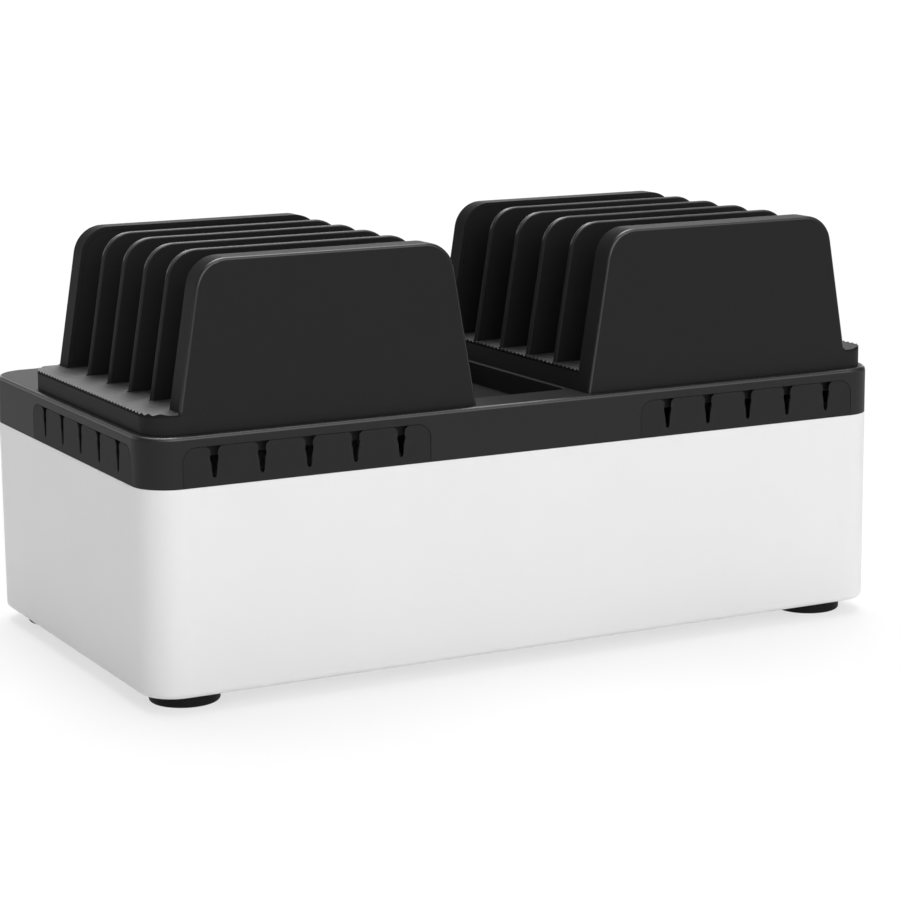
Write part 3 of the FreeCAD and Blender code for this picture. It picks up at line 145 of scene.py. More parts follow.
def blank_material(name):
    """A material with its shader and its object coordinates: gives the material, shader and vector socket."""
    material = bpy.data.materials.new(name)
    material.use_nodes = True
    shader = material.node_tree.nodes["Principled BSDF"]
    place = material.node_tree.nodes.new("ShaderNodeTexCoord")
    return material, shader, place.outputs["Object"]


def mixed(tree, share, first, second):
    """A colour between two others by a share from 0 to 1; each is a socket or a plain colour."""
    node = tree.nodes.new("ShaderNodeMix")
    node.data_type = "RGBA"
    tree.links.new(share, node.inputs["Factor"])
    for socket, source in ((node.inputs[6], first), (node.inputs[7], second)):
        if isinstance(source, tuple):
            socket.default_value = (*source, 1.0)
        else:
            tree.links.new(source, socket)
    return node.outputs[2]


def shaded(colour, share):
    """A colour made lighter or darker by a share."""
    return tuple(part * share for part in colour)


def bumped(tree, shader, height, depth, normal=None):
    """A bump of the given depth in metres on the shader's normal, over another normal if one is given."""
    strength = 0.5
    bump = tree.nodes.new("ShaderNodeBump")
    bump.inputs["Strength"].default_value = strength
    bump.inputs["Distance"].default_value = depth
    tree.links.new(height, bump.inputs["Height"])
    if normal is not None:
        tree.links.new(normal, bump.inputs["Normal"])
    tree.links.new(bump.outputs["Normal"], shader.inputs["Normal"])


def moulded(name, colour, roughness, specular, wear_and_highlight_tone, edge_width,
            grain_size=0.0005, grain_depth=0.00002, edge_gloss=0.0, glossy_edges="Polish"):
    """Moulded plastic or rubber. Colour wanders by two parts in a hundred with the melt's flow and takes the
    wear and highlight tone at edges: partly handling wear, and where the tone is above 1 on dark pieces,
    a painted highlight along the edges. Roughness rises with the grain and falls where the surface is
    rubbed or polished. The edge gloss is the weight of a clear shine that handling leaves on the edges named."""
    wander = 0.02
    rough_grain = 0.10
    rough_rub = 0.08
    rough_polish = 0.2
    shine_roughness = 0.25
    shine_index = 1.8
    material, shader, place = blank_material(name)
    tree = material.node_tree
    surface = tree.nodes.new("ShaderNodeGroup")
    surface.node_tree = grain_group
    surface.inputs["Grain Scale"].default_value = 1.0 / grain_size
    surface.inputs["Edge Width"].default_value = edge_width
    tree.links.new(place, surface.inputs["Vector"])
    flow = mixed(tree, surface.outputs["Flow"], shaded(colour, 1 - wander), shaded(colour, 1 + wander))
    # Edges take the wear and highlight tone: partly handling wear, and on dark pieces, where it is lighter, a
    # painted highlight.
    worn_and_highlit = mixed(tree, surface.outputs["Rub And Highlight"], flow, shaded(colour, wear_and_highlight_tone))
    tree.links.new(worn_and_highlit, shader.inputs["Base Color"])
    grain = math_node(tree, "MULTIPLY", surface.outputs["Grain"], rough_grain)
    rubbed = math_node(tree, "MULTIPLY", surface.outputs["Rub And Highlight"], -rough_rub)
    polished = math_node(tree, "MULTIPLY", surface.outputs[glossy_edges], -rough_polish)
    rough = math_node(tree, "ADD", grain, rubbed)
    rough = math_node(tree, "ADD", rough, polished)
    rough = math_node(tree, "ADD", rough, roughness - rough_grain / 2)
    tree.links.new(rough, shader.inputs["Roughness"])
    shader.inputs["Specular IOR Level"].default_value = specular
    if edge_gloss:
        shine = math_node(tree, "MULTIPLY", surface.outputs[glossy_edges], edge_gloss)
        tree.links.new(shine, shader.inputs["Coat Weight"])
        shader.inputs["Coat Roughness"].default_value = shine_roughness
        shader.inputs["Coat IOR"].default_value = shine_index
    bumped(tree, shader, surface.outputs["Grain"], grain_depth, surface.outputs["Normal"])
    return material


def dress(material, *names):
    """Give CAD nodes a material."""
    for name in names:
        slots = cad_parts[name].data.materials
        slots.clear()
        slots.append(material)


housing_white = moulded("housing_white", (0.83, 0.83, 0.83), roughness=0.5, specular=0.4,
                        wear_and_highlight_tone=0.985, edge_width=0.0004)
dress(housing_white, "base_housing")

# Feet: four round pads of black rubber, turned up at the edge, with two grip grooves round the sole.
# A screw in the middle of each goes up into a corner post of the housing.

foot_rubber = moulded("foot_rubber", (0.006, 0.006, 0.006), roughness=0.6, specular=0.15,
                      wear_and_highlight_tone=1.2, edge_width=0.0003, grain_size=0.0006, grain_depth=0.00003)


def add_piece(name, corners, faces, material, body, smooth_angle):
    """A mesh object from corners in metres and lists of corner numbers; it rides on a body.
    Edges that turn by less than the smooth angle are shaded as one curve, and many-sided caps stay flat."""
    mesh = bpy.data.meshes.new(name)
    mesh.from_pydata(np.asarray(corners).tolist(), [], faces)
    mesh.materials.append(material)
    mesh.set_sharp_from_angle(angle=math.radians(smooth_angle))
    mesh.polygons.foreach_set("use_smooth", [len(face) == 4 for face in faces])
    piece = bpy.data.objects.new(name, mesh)
    bpy.context.scene.collection.objects.link(piece)
    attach(piece, body)
    return piece


def ring_faces(rings, count):
    """Quads between neighbouring closed rings of count corners each, numbered ring after ring."""
    ring, step = np.meshgrid(np.arange(rings - 1), np.arange(count), indexing="ij")
    after = (step + 1) % count
    quads = np.stack((ring * count + step, (ring + 1) * count + step,
                      (ring + 1) * count + after, ring * count + after), axis=-1)
    return quads.reshape(-1, 4).tolist()


def turned(profile, count, wave=None):
    """A profile of radius and height turned about Z: each corner is the radius times the cosine and sine
    of its angle. The wave, if given, is added to the radius, one value for each angle, scaled by the
    profile's third column. The profile runs so that the outside is on its right."""
    profile = np.asarray(profile, float)
    angle = np.arange(count) * 2 * np.pi / count
    radius = profile[:, :1] + np.zeros(count)
    if wave is not None:
        radius = radius + profile[:, 2:3] * wave(angle)
    height = profile[:, 1:2] + np.zeros(count)
    corners = np.stack((radius * np.cos(angle), radius * np.sin(angle), height), axis=-1)
    return corners.reshape(-1, 3), ring_faces(len(profile), count)


def rounded_corner(centre, radius, start, end, steps):
    """Points on an arc from one angle to another, in degrees."""
    angle = np.radians(np.linspace(start, end, steps))
    return np.stack((centre[0] + radius * np.cos(angle), centre[1] + radius * np.sin(angle)), axis=-1)


FOOT_SIDES = 72
FOOT_BORE = 0.006
FOOT_BORE_DEPTH = 0.004
FOOT_SCREW = 0.002
FOOT_EDGE = 0.0014
FOOT_EDGE_STEPS = 7
FOOT_TOP_EDGE = FOOT_EDGE / 2
FOOT_TOP_EDGE_STEPS = 5
FOOT_GROOVES = (0.0095, 0.0130)
FOOT_GROOVE_HALF = 0.0007
FOOT_GROOVE_DEPTH = 0.0006
FOOT_GROOVE_STEPS = 9
for corner in ("front_left", "front_right", "rear_left", "rear_right"):
    low, high = np.array(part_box(f"foot_{corner}"))
    radius = (high[0] - low[0]) / 2
    rows = [[(FOOT_SCREW, high[2]), (FOOT_SCREW, FOOT_BORE_DEPTH),
             (FOOT_BORE, FOOT_BORE_DEPTH), (FOOT_BORE, 0.0)]]
    for groove in FOOT_GROOVES:
        steps = np.linspace(-np.pi, np.pi, FOOT_GROOVE_STEPS)
        rows.append(np.stack((groove + steps / np.pi * FOOT_GROOVE_HALF,
                              FOOT_GROOVE_DEPTH * (0.5 + 0.5 * np.cos(steps))), axis=-1))
    rows.append(rounded_corner((radius - FOOT_EDGE, FOOT_EDGE), FOOT_EDGE, -90, 0, FOOT_EDGE_STEPS))
    rows.append(rounded_corner((radius - FOOT_TOP_EDGE, high[2] - FOOT_TOP_EDGE), FOOT_TOP_EDGE,
                               0, 90, FOOT_TOP_EDGE_STEPS))
    rows.append([(FOOT_SCREW, high[2])])
    corners, faces = turned(np.concatenate(rows), FOOT_SIDES)
    middle = (low + high) / 2
    placed = corners + (middle[0], middle[1], 0.0)
    pad = add_piece(f"foot_pad_{corner}", placed, faces, foot_rubber, "base", smooth_angle=40)
    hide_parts(f"foot_{corner}")

# Screws: zinc-plated steel pan heads with a pressed cross, turned and threaded on an automatic lathe.
# Each group goes where its pieces are joined: feet, strips, covers, inlet, end panels and dividers.


def brushed(name, colour, roughness, streak):
    """Plated metal with fine turning streaks: roughness and colour follow noise squeezed along X."""
    squeeze_scale = (0.15, 1.0, 1.0)
    streak_detail = 4.0
    dark_share = 0.9
    light_share = 1.05
    rough_streak = 0.2
    streak_depth = 0.00001
    material, shader, place = blank_material(name)
    tree = material.node_tree
    squeeze = tree.nodes.new("ShaderNodeMapping")
    squeeze.inputs["Scale"].default_value = squeeze_scale
    tree.links.new(place, squeeze.inputs["Vector"])
    streaks = noise_node(tree, squeeze.outputs["Vector"], 1.0 / streak, streak_detail)
    tone = mixed(tree, streaks, shaded(colour, dark_share), shaded(colour, light_share))
    tree.links.new(tone, shader.inputs["Base Color"])
    rough = math_node(tree, "MULTIPLY", streaks, rough_streak)
    rough = math_node(tree, "ADD", rough, roughness - rough_streak / 2)
    tree.links.new(rough, shader.inputs["Roughness"])
    shader.inputs["Metallic"].default_value = 1.0
    bumped(tree, shader, streaks, streak_depth)
    return material


screw_steel = brushed("screw_steel", (0.56, 0.56, 0.55), roughness=0.35, streak=0.0004)
SCREW_SIDES = 48
HEAD_DOME_SHARE = 0.6
HEAD_DOME_STEPS = 15
HEAD_DOME_END = 87
CROSS_WIDTH = (0.17, 0.11)
CROSS_REACH = (0.68, 0.58)
CROSS_DEPTH = 0.55
SCREW_TURN = 37.0
ALONG_SCREW = {"up": ((1, 0, 0), (0, 1, 0), (0, 0, 1)), "down": ((1, 0, 0), (0, -1, 0), (0, 0, -1)),
               "back": ((0, 0, 1), (1, 0, 0), (0, 1, 0)), "front": ((1, 0, 0), (0, 0, 1), (0, -1, 0))}


def eased(value, low, high):
    """A smooth step from 0 at the low value to 1 at the high value: three squares less two cubes."""
    share = np.clip((value - low) / (high - low), 0.0, 1.0)
    return share * share * (3 - 2 * share)


def end_caps(corner_count, sides):
    """Flat caps on the first and the last ring of a turned piece."""
    return [list(range(sides))[::-1], list(range(corner_count - sides, corner_count))]


def screw_mesh(head_radius, head_height, shank_radius, bite):
    """A pan head on a plain shank, turned about Z, with the top of the head at zero. The head's top is a
    quarter of an ellipse, and a cross is pressed into it, by a smooth step across its arms times one along
    them."""
    angle = np.arange(SCREW_SIDES) * 2 * np.pi / SCREW_SIDES
    rise = np.radians(np.linspace(0, HEAD_DOME_END, HEAD_DOME_STEPS))
    shank_radii = (shank_radius, shank_radius, head_radius)
    shank_heights = (-head_height - bite, -head_height, -head_height)
    radius = np.concatenate((shank_radii, head_radius * np.cos(rise)))
    height = np.concatenate((shank_heights, head_height * (HEAD_DOME_SHARE * np.sin(rise) - HEAD_DOME_SHARE)))
    x = radius[:, None] * np.cos(angle)
    y = radius[:, None] * np.sin(angle)
    across = np.minimum(np.abs(x), np.abs(y)) / head_radius
    cross = eased(across, *CROSS_WIDTH) * eased(np.hypot(x, y) / head_radius, *CROSS_REACH)
    cross[:len(shank_radii)] = 0.0
    z = height[:, None] - CROSS_DEPTH * head_height * cross
    corners = np.stack((x, y, z), axis=-1).reshape(-1, 3)
    return corners, ring_faces(len(radius), SCREW_SIDES) + end_caps(len(corners), SCREW_SIDES)


def add_screws(node, body, way, size, places):
    """Screws of one size with the tops of their heads at the places given, each turned a little further."""
    corners, faces = screw_mesh(*size)
    axes = np.array([ALONG_SCREW[name] for name in way], float)
    turn = np.radians(SCREW_TURN) * np.arange(len(places))
    x = corners[:, 0] * np.cos(turn)[:, None] - corners[:, 1] * np.sin(turn)[:, None]
    y = corners[:, 0] * np.sin(turn)[:, None] + corners[:, 1] * np.cos(turn)[:, None]
    turned_corners = np.stack((x, y, corners[:, 2] + 0 * x), axis=-1)
    placed = np.einsum("nvk,nkc->nvc", turned_corners, axes) + np.array(places)[:, None]
    every = [[number + copy * len(corners) for number in face]
             for copy in range(len(places)) for face in faces]
    screws = add_piece(f"{node}_heads", placed.reshape(-1, 3), every, screw_steel, body, smooth_angle=40)
    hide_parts(node)


def spread(box, radius, columns, rows):
    """Places on a grid in x and y, inset from a box by a radius, at the box's low height."""
    x = np.linspace(box[0][0] + radius, box[1][0] - radius, columns)
    y = np.linspace(box[0][1] + radius, box[1][1] - radius, rows)
    return [(place_x, place_y, box[0][2]) for place_y in y for place_x in x]


# Each size is head radius, head height, shank radius and bite.
FOOT_SCREW_SIZE = (0.0045, 0.0026, 0.002, 0.018)
STRIP_SCREW_SIZE = (0.0032, 0.002, 0.0016, 0.010)
INLET_SCREW_SIZE = (0.0028, 0.0016, 0.0015, 0.008)
PANEL_SCREW_SIZE = (0.0026, 0.0012, 0.0014, 0.006)
DIVIDER_SCREW_SIZE = (0.002, 0.0014, 0.0009, 0.007)
WALL_LEAN = 0.169
add_screws("foot_screws", "base", ["down"] * 4, FOOT_SCREW_SIZE,
           spread(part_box("foot_screws"), FOOT_SCREW_SIZE[0], 2, 2))
add_screws("strip_screws", "base", ["down"] * 4, STRIP_SCREW_SIZE,
           spread(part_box("strip_screws"), STRIP_SCREW_SIZE[0], 2, 2))
cover_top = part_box("cover_screws")[1][2]
add_screws("cover_screws", "base", ["up"] * 4, STRIP_SCREW_SIZE,
           [(x, y, cover_top) for x, y, _ in spread(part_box("cover_screws"), STRIP_SCREW_SIZE[0], 2, 2)])
low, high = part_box("inlet_screws")
add_screws("inlet_screws", "base", ["back"] * 2, INLET_SCREW_SIZE,
           [(x, high[1], (low[2] + high[2]) / 2)
            for x in (low[0] + INLET_SCREW_SIZE[0], high[0] - INLET_SCREW_SIZE[0])])
for side in ("left", "right"):
    add_screws(f"{side}_tray_divider_screws", f"{side}_tray", ["down"] * 12, DIVIDER_SCREW_SIZE,
               spread(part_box(f"{side}_tray_divider_screws"), DIVIDER_SCREW_SIZE[0], 3, 4))
    low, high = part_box(f"{side}_tray_panel_screws")
    head = PANEL_SCREW_SIZE[0]
    length = PANEL_SCREW_SIZE[1] + PANEL_SCREW_SIZE[3]
    lean = (high[2] - low[2] - 2 * head) * WALL_LEAN
    square = [(low[0] + head, low[2] + head), (high[0] - head, low[2] + head),
              (low[0] + head + lean, high[2] - head), (high[0] - head - lean, high[2] - head)]
    add_screws(f"{side}_tray_panel_screws", f"{side}_tray", ["back"] * 4 + ["front"] * 4, PANEL_SCREW_SIZE,
               [(x, y, z) for y in (low[1] + length, high[1] - length) for x, z in square])

# Combs: soft black rubber strips that stand on the rim, flush with the housing, with five slots each.
# Each is moulded in one with a tongue below, which is pressed into a channel behind the rim.

comb_rubber = moulded("comb_rubber", (0.027, 0.027, 0.0275), roughness=0.5, specular=0.03,
                      wear_and_highlight_tone=1.3, edge_width=0.0003)
COMB_THICKNESS = 0.0055
COMB_HEIGHT = 0.0206
COMB_CORNER = 0.0075
COMB_CORNER_STEPS = 12
COMB_EDGE = 0.00025
COMB_SWELL = 0.00008
TONGUE_SETBACK = 0.003
TONGUE_THICKNESS = 0.0022
SLOT_COUNT = 5
SLOT_WIDTH = 0.0045
SLOT_DEPTH = 0.0163
SLOT_LIP = 0.0005
SLOT_RELIEF = 0.0025
SLOT_SHARES = ((0.0, 1.9), (0.04, 1.45), (0.11, 1.0), (0.27, 0.87), (0.36, 1.08), (0.46, 0.92),
               (0.60, 0.70), (0.80, 0.60), (0.90, 0.52), (0.96, 0.44), (1.0, 0.12))


def slot_side():
    """Half the slot's width by depth: the shares of width at shares of depth, joined by straight runs and
    then smoothed with a short bell-shaped window. Gives depths and half widths from mouth to foot, with
    closer steps near the foot."""
    fine_steps = 160
    window_size = 9
    foot_start = 144
    side_step = 6
    foot_step = 2
    fine = np.linspace(0.0, 1.0, fine_steps + 1)
    shares = np.array(SLOT_SHARES)
    width = np.interp(fine, shares[:, 0], shares[:, 1])
    window = np.hanning(window_size)
    padded = np.pad(width, window_size // 2, mode="edge")
    smooth = np.convolve(padded, window / window.sum(), mode="valid")
    pick = np.concatenate((np.arange(0, foot_start, side_step),
                           np.arange(foot_start, fine_steps + 1, foot_step)))
    return fine[pick] * SLOT_DEPTH, smooth[pick] * SLOT_WIDTH / 2


def comb_outline(width, margin, relief):
    """The blade's outline, anticlockwise from its lower left corner: round top corners, and along the top
    the slots, each going down its right side and up its left side, wider by a relief on each side.
    The soft blade swells a little into the clearance of the notch round it."""
    half = width / 2 + COMB_SWELL
    top = COMB_HEIGHT + COMB_SWELL
    arc_x = half - COMB_CORNER
    arc_z = top - COMB_CORNER
    rows = [[(-half, 0.0), (half, 0.0)]]
    rows.append(rounded_corner((arc_x, arc_z), COMB_CORNER, 0, 90, COMB_CORNER_STEPS))
    depth, side = slot_side()
    side = side + relief
    for middle in np.linspace(width / 2 - margin, margin - width / 2, SLOT_COUNT):
        rows.append(np.stack((middle + side, top - depth), axis=-1))
        rows.append(np.stack((middle - side[::-1], top - depth[::-1]), axis=-1))
    rows.append(rounded_corner((-arc_x, arc_z), COMB_CORNER, 90, 180, COMB_CORNER_STEPS))
    return np.concatenate(rows)


def inset_by(outline, distance):
    """An anticlockwise outline moved inwards: each corner goes along the mean normal of its two edges, by
    the distance over the cosine of half its turn, kept above a least value at sharp corners."""
    least_length = 1e-9
    least_cosine = 0.5
    ahead = np.roll(outline, -1, axis=0) - outline
    ahead /= np.linalg.norm(ahead, axis=1, keepdims=True)
    behind = np.roll(ahead, 1, axis=0)
    inward_ahead = np.stack((-ahead[:, 1], ahead[:, 0]), axis=-1)
    inward_behind = np.stack((-behind[:, 1], behind[:, 0]), axis=-1)
    mean = inward_ahead + inward_behind
    mean /= np.maximum(np.linalg.norm(mean, axis=1, keepdims=True), least_length)
    cosine = np.maximum((mean * inward_ahead).sum(axis=1, keepdims=True), least_cosine)
    return outline + mean * distance / cosine


def slab_mesh(outline, back_outline, thickness, lip, edge):
    """Outlines at growing depth: inset along a quarter circle at the front edge, full as far as the lip, then
    the back outline, inset again at the back. Flat caps close both ends."""
    edge_steps = 4
    angle = np.radians(np.linspace(0, 90, edge_steps))
    insets = edge * (1 - np.sin(angle))
    depths = edge * (1 - np.cos(angle))
    rows = [(outline, inset, depth) for inset, depth in zip(insets, depths)]
    rows += [(outline, 0.0, lip), (back_outline, 0.0, lip)]
    rows += [(back_outline, inset, thickness - depth) for inset, depth in zip(insets[::-1], depths[::-1])]
    rings = [np.insert(inset_by(line, inset), 1, depth, axis=1) for line, inset, depth in rows]
    corners = np.concatenate(rings)
    count = len(outline)
    faces = ring_faces(len(rings), count)
    faces.append(list(range(count)))
    faces.append(list(range(len(corners) - 1, len(corners) - count - 1, -1)))
    return corners, faces


def comb_mesh(width, margin, tongue_depth):
    """The blade is a slab with a soft edge, relieved behind the thin lips of its slots, and a plain block
    under it is the tongue."""
    corners, faces = slab_mesh(comb_outline(width, margin, 0.0), comb_outline(width, margin, SLOT_RELIEF),
                               COMB_THICKNESS, SLOT_LIP, COMB_EDGE)
    tongue_back = TONGUE_SETBACK + TONGUE_THICKNESS
    plan = ((-width / 2, TONGUE_SETBACK), (width / 2, TONGUE_SETBACK),
            (width / 2, tongue_back), (-width / 2, tongue_back))
    block = np.array([(x, y, z) for z in (-tongue_depth, 0.0) for x, y in plan])
    first = len(corners)
    block_faces = ((0, 3, 2, 1), (4, 5, 6, 7), (0, 1, 5, 4), (1, 2, 6, 5), (2, 3, 7, 6), (3, 0, 4, 7))
    faces += [[first + number for number in face] for face in block_faces]
    return np.concatenate((corners, block)), faces


FRONT_SLOT_MARGIN = 0.0171
SIDE_SLOT_MARGIN = 0.019
COMB_WAYS = {"front_left_comb": ((1, 0, 0), (0, 1, 0)), "front_right_comb": ((1, 0, 0), (0, 1, 0)),
             "left_comb": ((0, -1, 0), (1, 0, 0)), "right_comb": ((0, 1, 0), (-1, 0, 0))}
for comb, ways in COMB_WAYS.items():
    low, high = np.array(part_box(comb))
    along, inward = np.array(ways, float)
    width = abs((high - low) @ along)
    margin = FRONT_SLOT_MARGIN if comb.startswith("front") else SIDE_SLOT_MARGIN
    rim = high[2] - COMB_HEIGHT
    corners, faces = comb_mesh(width, margin, rim - low[2])
    middle = (low + high) / 2
    outer = middle - inward * abs((high - low) @ inward) / 2
    outer[2] = rim
    placed = outer + corners[:, :1] * along + corners[:, 1:2] * inward + corners[:, 2:] * (0, 0, 1)
    blade = add_piece(f"{comb}_blade", placed, faces, comb_rubber, "base", smooth_angle=35)
    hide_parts(comb)

# Power strips: two long cases with covers in dark grey plastic, with five black outlets each that face up.
# Screws from below hold the cases to the housing's floor, and screws from above hold the covers.

strip_grey = moulded("strip_grey", (0.045, 0.045, 0.047), roughness=0.45, specular=0.4,
                     wear_and_highlight_tone=1.3, edge_width=0.0004)
dress(strip_grey, "front_strip_case", "front_strip_cover", "rear_strip_case", "rear_strip_cover")
outlet_black = moulded("outlet_black", (0.015, 0.015, 0.015), roughness=0.35, specular=0.5,
                       wear_and_highlight_tone=1.4, edge_width=0.0004, grain_size=0.0008, grain_depth=0.00001)
dress(outlet_black, "front_strip_outlets", "rear_strip_outlets")

# Mains fittings: inlet, rocker switch and breaker, moulded in smooth black plastic, in the sunk rear panel.
# Two screws hold the inlet, and the rocker tips on a pivot inside the switch's housing.

fitting_black = moulded("fitting_black", (0.012, 0.012, 0.012), roughness=0.35, specular=0.5,
                        wear_and_highlight_tone=1.4, edge_width=0.0004, grain_size=0.0008, grain_depth=0.00001)
dress(fitting_black, "power_inlet", "switch_housing", "breaker_housing")
rocker_black = moulded("rocker_black", (0.014, 0.014, 0.014), roughness=0.25, specular=0.5,
                       wear_and_highlight_tone=1.4, edge_width=0.0002, grain_size=0.0008, grain_depth=0.00001)
ROCKER_WIDTH = 0.0106
ROCKER_HALF = 0.0078
ROCKER_STEPS = 25
ROCKER_FRONT = 0.0032
ROCKER_DIP = 0.0019
ROCKER_BACK = 0.003
ROCKER_EDGE = 0.0005
ROCKER_TILT = math.radians(9.0)
PIVOT_INSET = 0.0025
low, high = np.array(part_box("switch_housing"))
pivot = np.array(((low[0] + high[0]) / 2, high[1] - PIVOT_INSET, (low[2] + high[2]) / 2))


def rocker_front(z):
    """The rocker's hollow face: the dip at the middle, rising with the square of the height to both ends."""
    return ROCKER_DIP + (ROCKER_FRONT - ROCKER_DIP) * (z / ROCKER_HALF) ** 2


def on_rocker(corners):
    """Corners of y and z about the pivot, with x from the rocker's middle, tipped and put in place."""
    x, y, z = corners.T
    tipped_y = y * math.cos(ROCKER_TILT) - z * math.sin(ROCKER_TILT)
    tipped_z = y * math.sin(ROCKER_TILT) + z * math.cos(ROCKER_TILT)
    return np.stack((x, tipped_y, tipped_z), axis=-1) + pivot


height = np.linspace(-ROCKER_HALF, ROCKER_HALF, ROCKER_STEPS)
outline = np.concatenate((np.stack((rocker_front(height), height), axis=-1),
                          ((0.0, ROCKER_HALF), (-ROCKER_BACK, 0.0), (0.0, -ROCKER_HALF))))
corners, faces = slab_mesh(outline, outline, ROCKER_WIDTH, ROCKER_WIDTH / 2, ROCKER_EDGE)
corners = on_rocker(np.stack((ROCKER_WIDTH / 2 - corners[:, 1], corners[:, 0], corners[:, 2]), axis=-1))
rocker = add_piece("rocker_cap", corners, faces, rocker_black, "power_rocker", smooth_angle=40)
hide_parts("power_rocker")

# Switch marks: a stroke for on and a ring for off, printed white and a hair proud of the rocker's face.
# Each is a closed loop of four lines of corners: outer root, outer top, inner top and inner root.

mark_white = moulded("mark_white", (0.75, 0.75, 0.75), roughness=0.5, specular=0.4,
                     wear_and_highlight_tone=0.95, edge_width=0.0001, grain_size=0.0004, grain_depth=0.00001)
MARK_SIDES = 40
MARK_RISE = 0.00006
MARK_ROOT = 0.0001
MARK_MIDDLE = 0.0043
STROKE_OUTER = (0.00035, 0.0015)
STROKE_INNER = (0.00001, 0.0011)
STROKE_FULLNESS = 0.5
RING_OUTER = (0.0015, 0.0015)
RING_INNER = (0.00105, 0.00105)
RING_FULLNESS = 1.0


def mark_mesh(outer, inner, middle, fullness):
    """A flat loop between two rounded lines about a middle height. A line's x and z are its reaches times the
    cosine and sine of an angle, each raised to the fullness: 1 is an ellipse, and less is squarer."""
    angle = np.arange(MARK_SIDES) * 2 * np.pi / MARK_SIDES
    bow_x = np.sign(np.cos(angle)) * np.abs(np.cos(angle)) ** fullness
    bow_z = np.sign(np.sin(angle)) * np.abs(np.sin(angle)) ** fullness
    rows = []
    for (reach_x, reach_z), rise in ((outer, -MARK_ROOT), (outer, MARK_RISE), (inner, MARK_RISE),
                                     (inner, -MARK_ROOT), (outer, -MARK_ROOT)):
        z = middle + reach_z * bow_z
        rows.append(np.stack((-reach_x * bow_x, rocker_front(z) + rise, z), axis=-1))
    return on_rocker(np.concatenate(rows)), ring_faces(len(rows), MARK_SIDES)


for name, loop in (("on_stroke", (STROKE_OUTER, STROKE_INNER, MARK_MIDDLE, STROKE_FULLNESS)),
                   ("off_ring", (RING_OUTER, RING_INNER, -MARK_MIDDLE, RING_FULLNESS))):
    corners, faces = mark_mesh(*loop)
    mark = add_piece(f"rocker_{name}", corners, faces, mark_white, "power_rocker", smooth_angle=40)

# Breaker's nut and button: a turned and plated ring with a knurled rim holds the bush in the panel,
# and a round moulded button with a dished end stands out of the bush.

NUT_RADIUS = 0.0085
NUT_BORE = 0.0061
NUT_FOOT_CHAMFER = (0.0005, 0.0004)
NUT_TOP_CHAMFER = (0.0006, 0.0005)
NUT_BORE_CHAMFER = (0.0005, 0.0004)
NUT_KNURLS = 48
NUT_KNURL_DEPTH = 0.0004
SIDES_PER_KNURL = 4


def knurl(angle):
    """A cosine with one wave for each knurl, from zero down to the knurl's depth."""
    return NUT_KNURL_DEPTH * (0.5 * np.cos(NUT_KNURLS * angle) - 0.5)


def out_of_panel(corners, low, high):
    """Corners of a piece turned about Z, laid along Y with its foot at the middle of a box's inner side."""
    foot = np.array(((low[0] + high[0]) / 2, low[1], (low[2] + high[2]) / 2))
    return corners @ np.array(ALONG_SCREW["back"], float) + foot


low, high = np.array(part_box("breaker_nut"))
nut_height = high[1] - low[1]
nut_profile = ((NUT_BORE, 0.0, 0), (NUT_RADIUS - NUT_FOOT_CHAMFER[0], 0.0, 0),
               (NUT_RADIUS, NUT_FOOT_CHAMFER[1], 1), (NUT_RADIUS, nut_height - NUT_TOP_CHAMFER[1], 1),
               (NUT_RADIUS - NUT_TOP_CHAMFER[0], nut_height, 0),
               (NUT_BORE + NUT_BORE_CHAMFER[0], nut_height, 0),
               (NUT_BORE, nut_height - NUT_BORE_CHAMFER[1], 0), (NUT_BORE, 0.0, 0))
corners, faces = turned(nut_profile, NUT_KNURLS * SIDES_PER_KNURL, knurl)
nut_nickel = brushed("nut_nickel", (0.66, 0.65, 0.62), roughness=0.25, streak=0.0004)
nut = add_piece("knurled_nut", out_of_panel(corners, low, high), faces, nut_nickel, "base", smooth_angle=30)
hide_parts("breaker_nut")
BUTTON_SIDES = 48
BUTTON_EDGE = 0.0007
BUTTON_EDGE_STEPS = 6
# The dish is given as radii and as depths below the button's end.
BUTTON_DISH = ((0.0022, 0.0001), (0.0015, 0.0003), (0.0007, 0.0004), (0.0001, 0.00042))
low, high = np.array(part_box("reset_button"))
button_radius = (high[0] - low[0]) / 2
button_length = high[1] - low[1]
button_profile = np.concatenate((
    ((button_radius, 0.0),),
    rounded_corner((button_radius - BUTTON_EDGE, button_length - BUTTON_EDGE), BUTTON_EDGE,
                   0, 90, BUTTON_EDGE_STEPS),
    [(radius, button_length - depth) for radius, depth in BUTTON_DISH]))
corners, faces = turned(button_profile, BUTTON_SIDES)
faces += end_caps(len(corners), BUTTON_SIDES)
button = add_piece("reset_cap", out_of_panel(corners, low, high), faces, rocker_black, "reset_button",
                   smooth_angle=40)
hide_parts("reset_button")

# Inlet's pins: three flat pins of plated brass, stamped from strip.
# They are pressed into the inlet's floor and stand inside its socket.

pin_brass = brushed("pin_brass", (0.72, 0.58, 0.32), roughness=0.3, streak=0.0005)
dress(pin_brass, "inlet_pins")

# Inner leads: short round cords in a smooth black sheath, drawn over the wires.
# They carry the mains from the inlet through switch and breaker to the strips.

lead_sheath = moulded("lead_sheath", (0.014, 0.014, 0.014), roughness=0.45, specular=0.4,
                      wear_and_highlight_tone=1.2, edge_width=0.0004, grain_size=0.0007)
dress(lead_sheath, "inlet_lead", "switch_lead", "strip_lead", "link_lead")

# Deck: one black moulding that closes the housing, with a collar flush with its sides.
# It is notched round the combs and lifts off. Its pegs hold the trays, and handling shines its upper edges.

deck_black = moulded("deck_black", (0.025, 0.025, 0.0255), roughness=0.48, specular=0.09,
                     wear_and_highlight_tone=1.3, edge_width=0.0003, edge_gloss=0.8)
dress(deck_black, "top_deck")

# Trays: black mouldings that lift off, with hollow end walls closed by screwed panels.
# Four thin dividers stand in grooves of each tray's floor, held by screws from below.

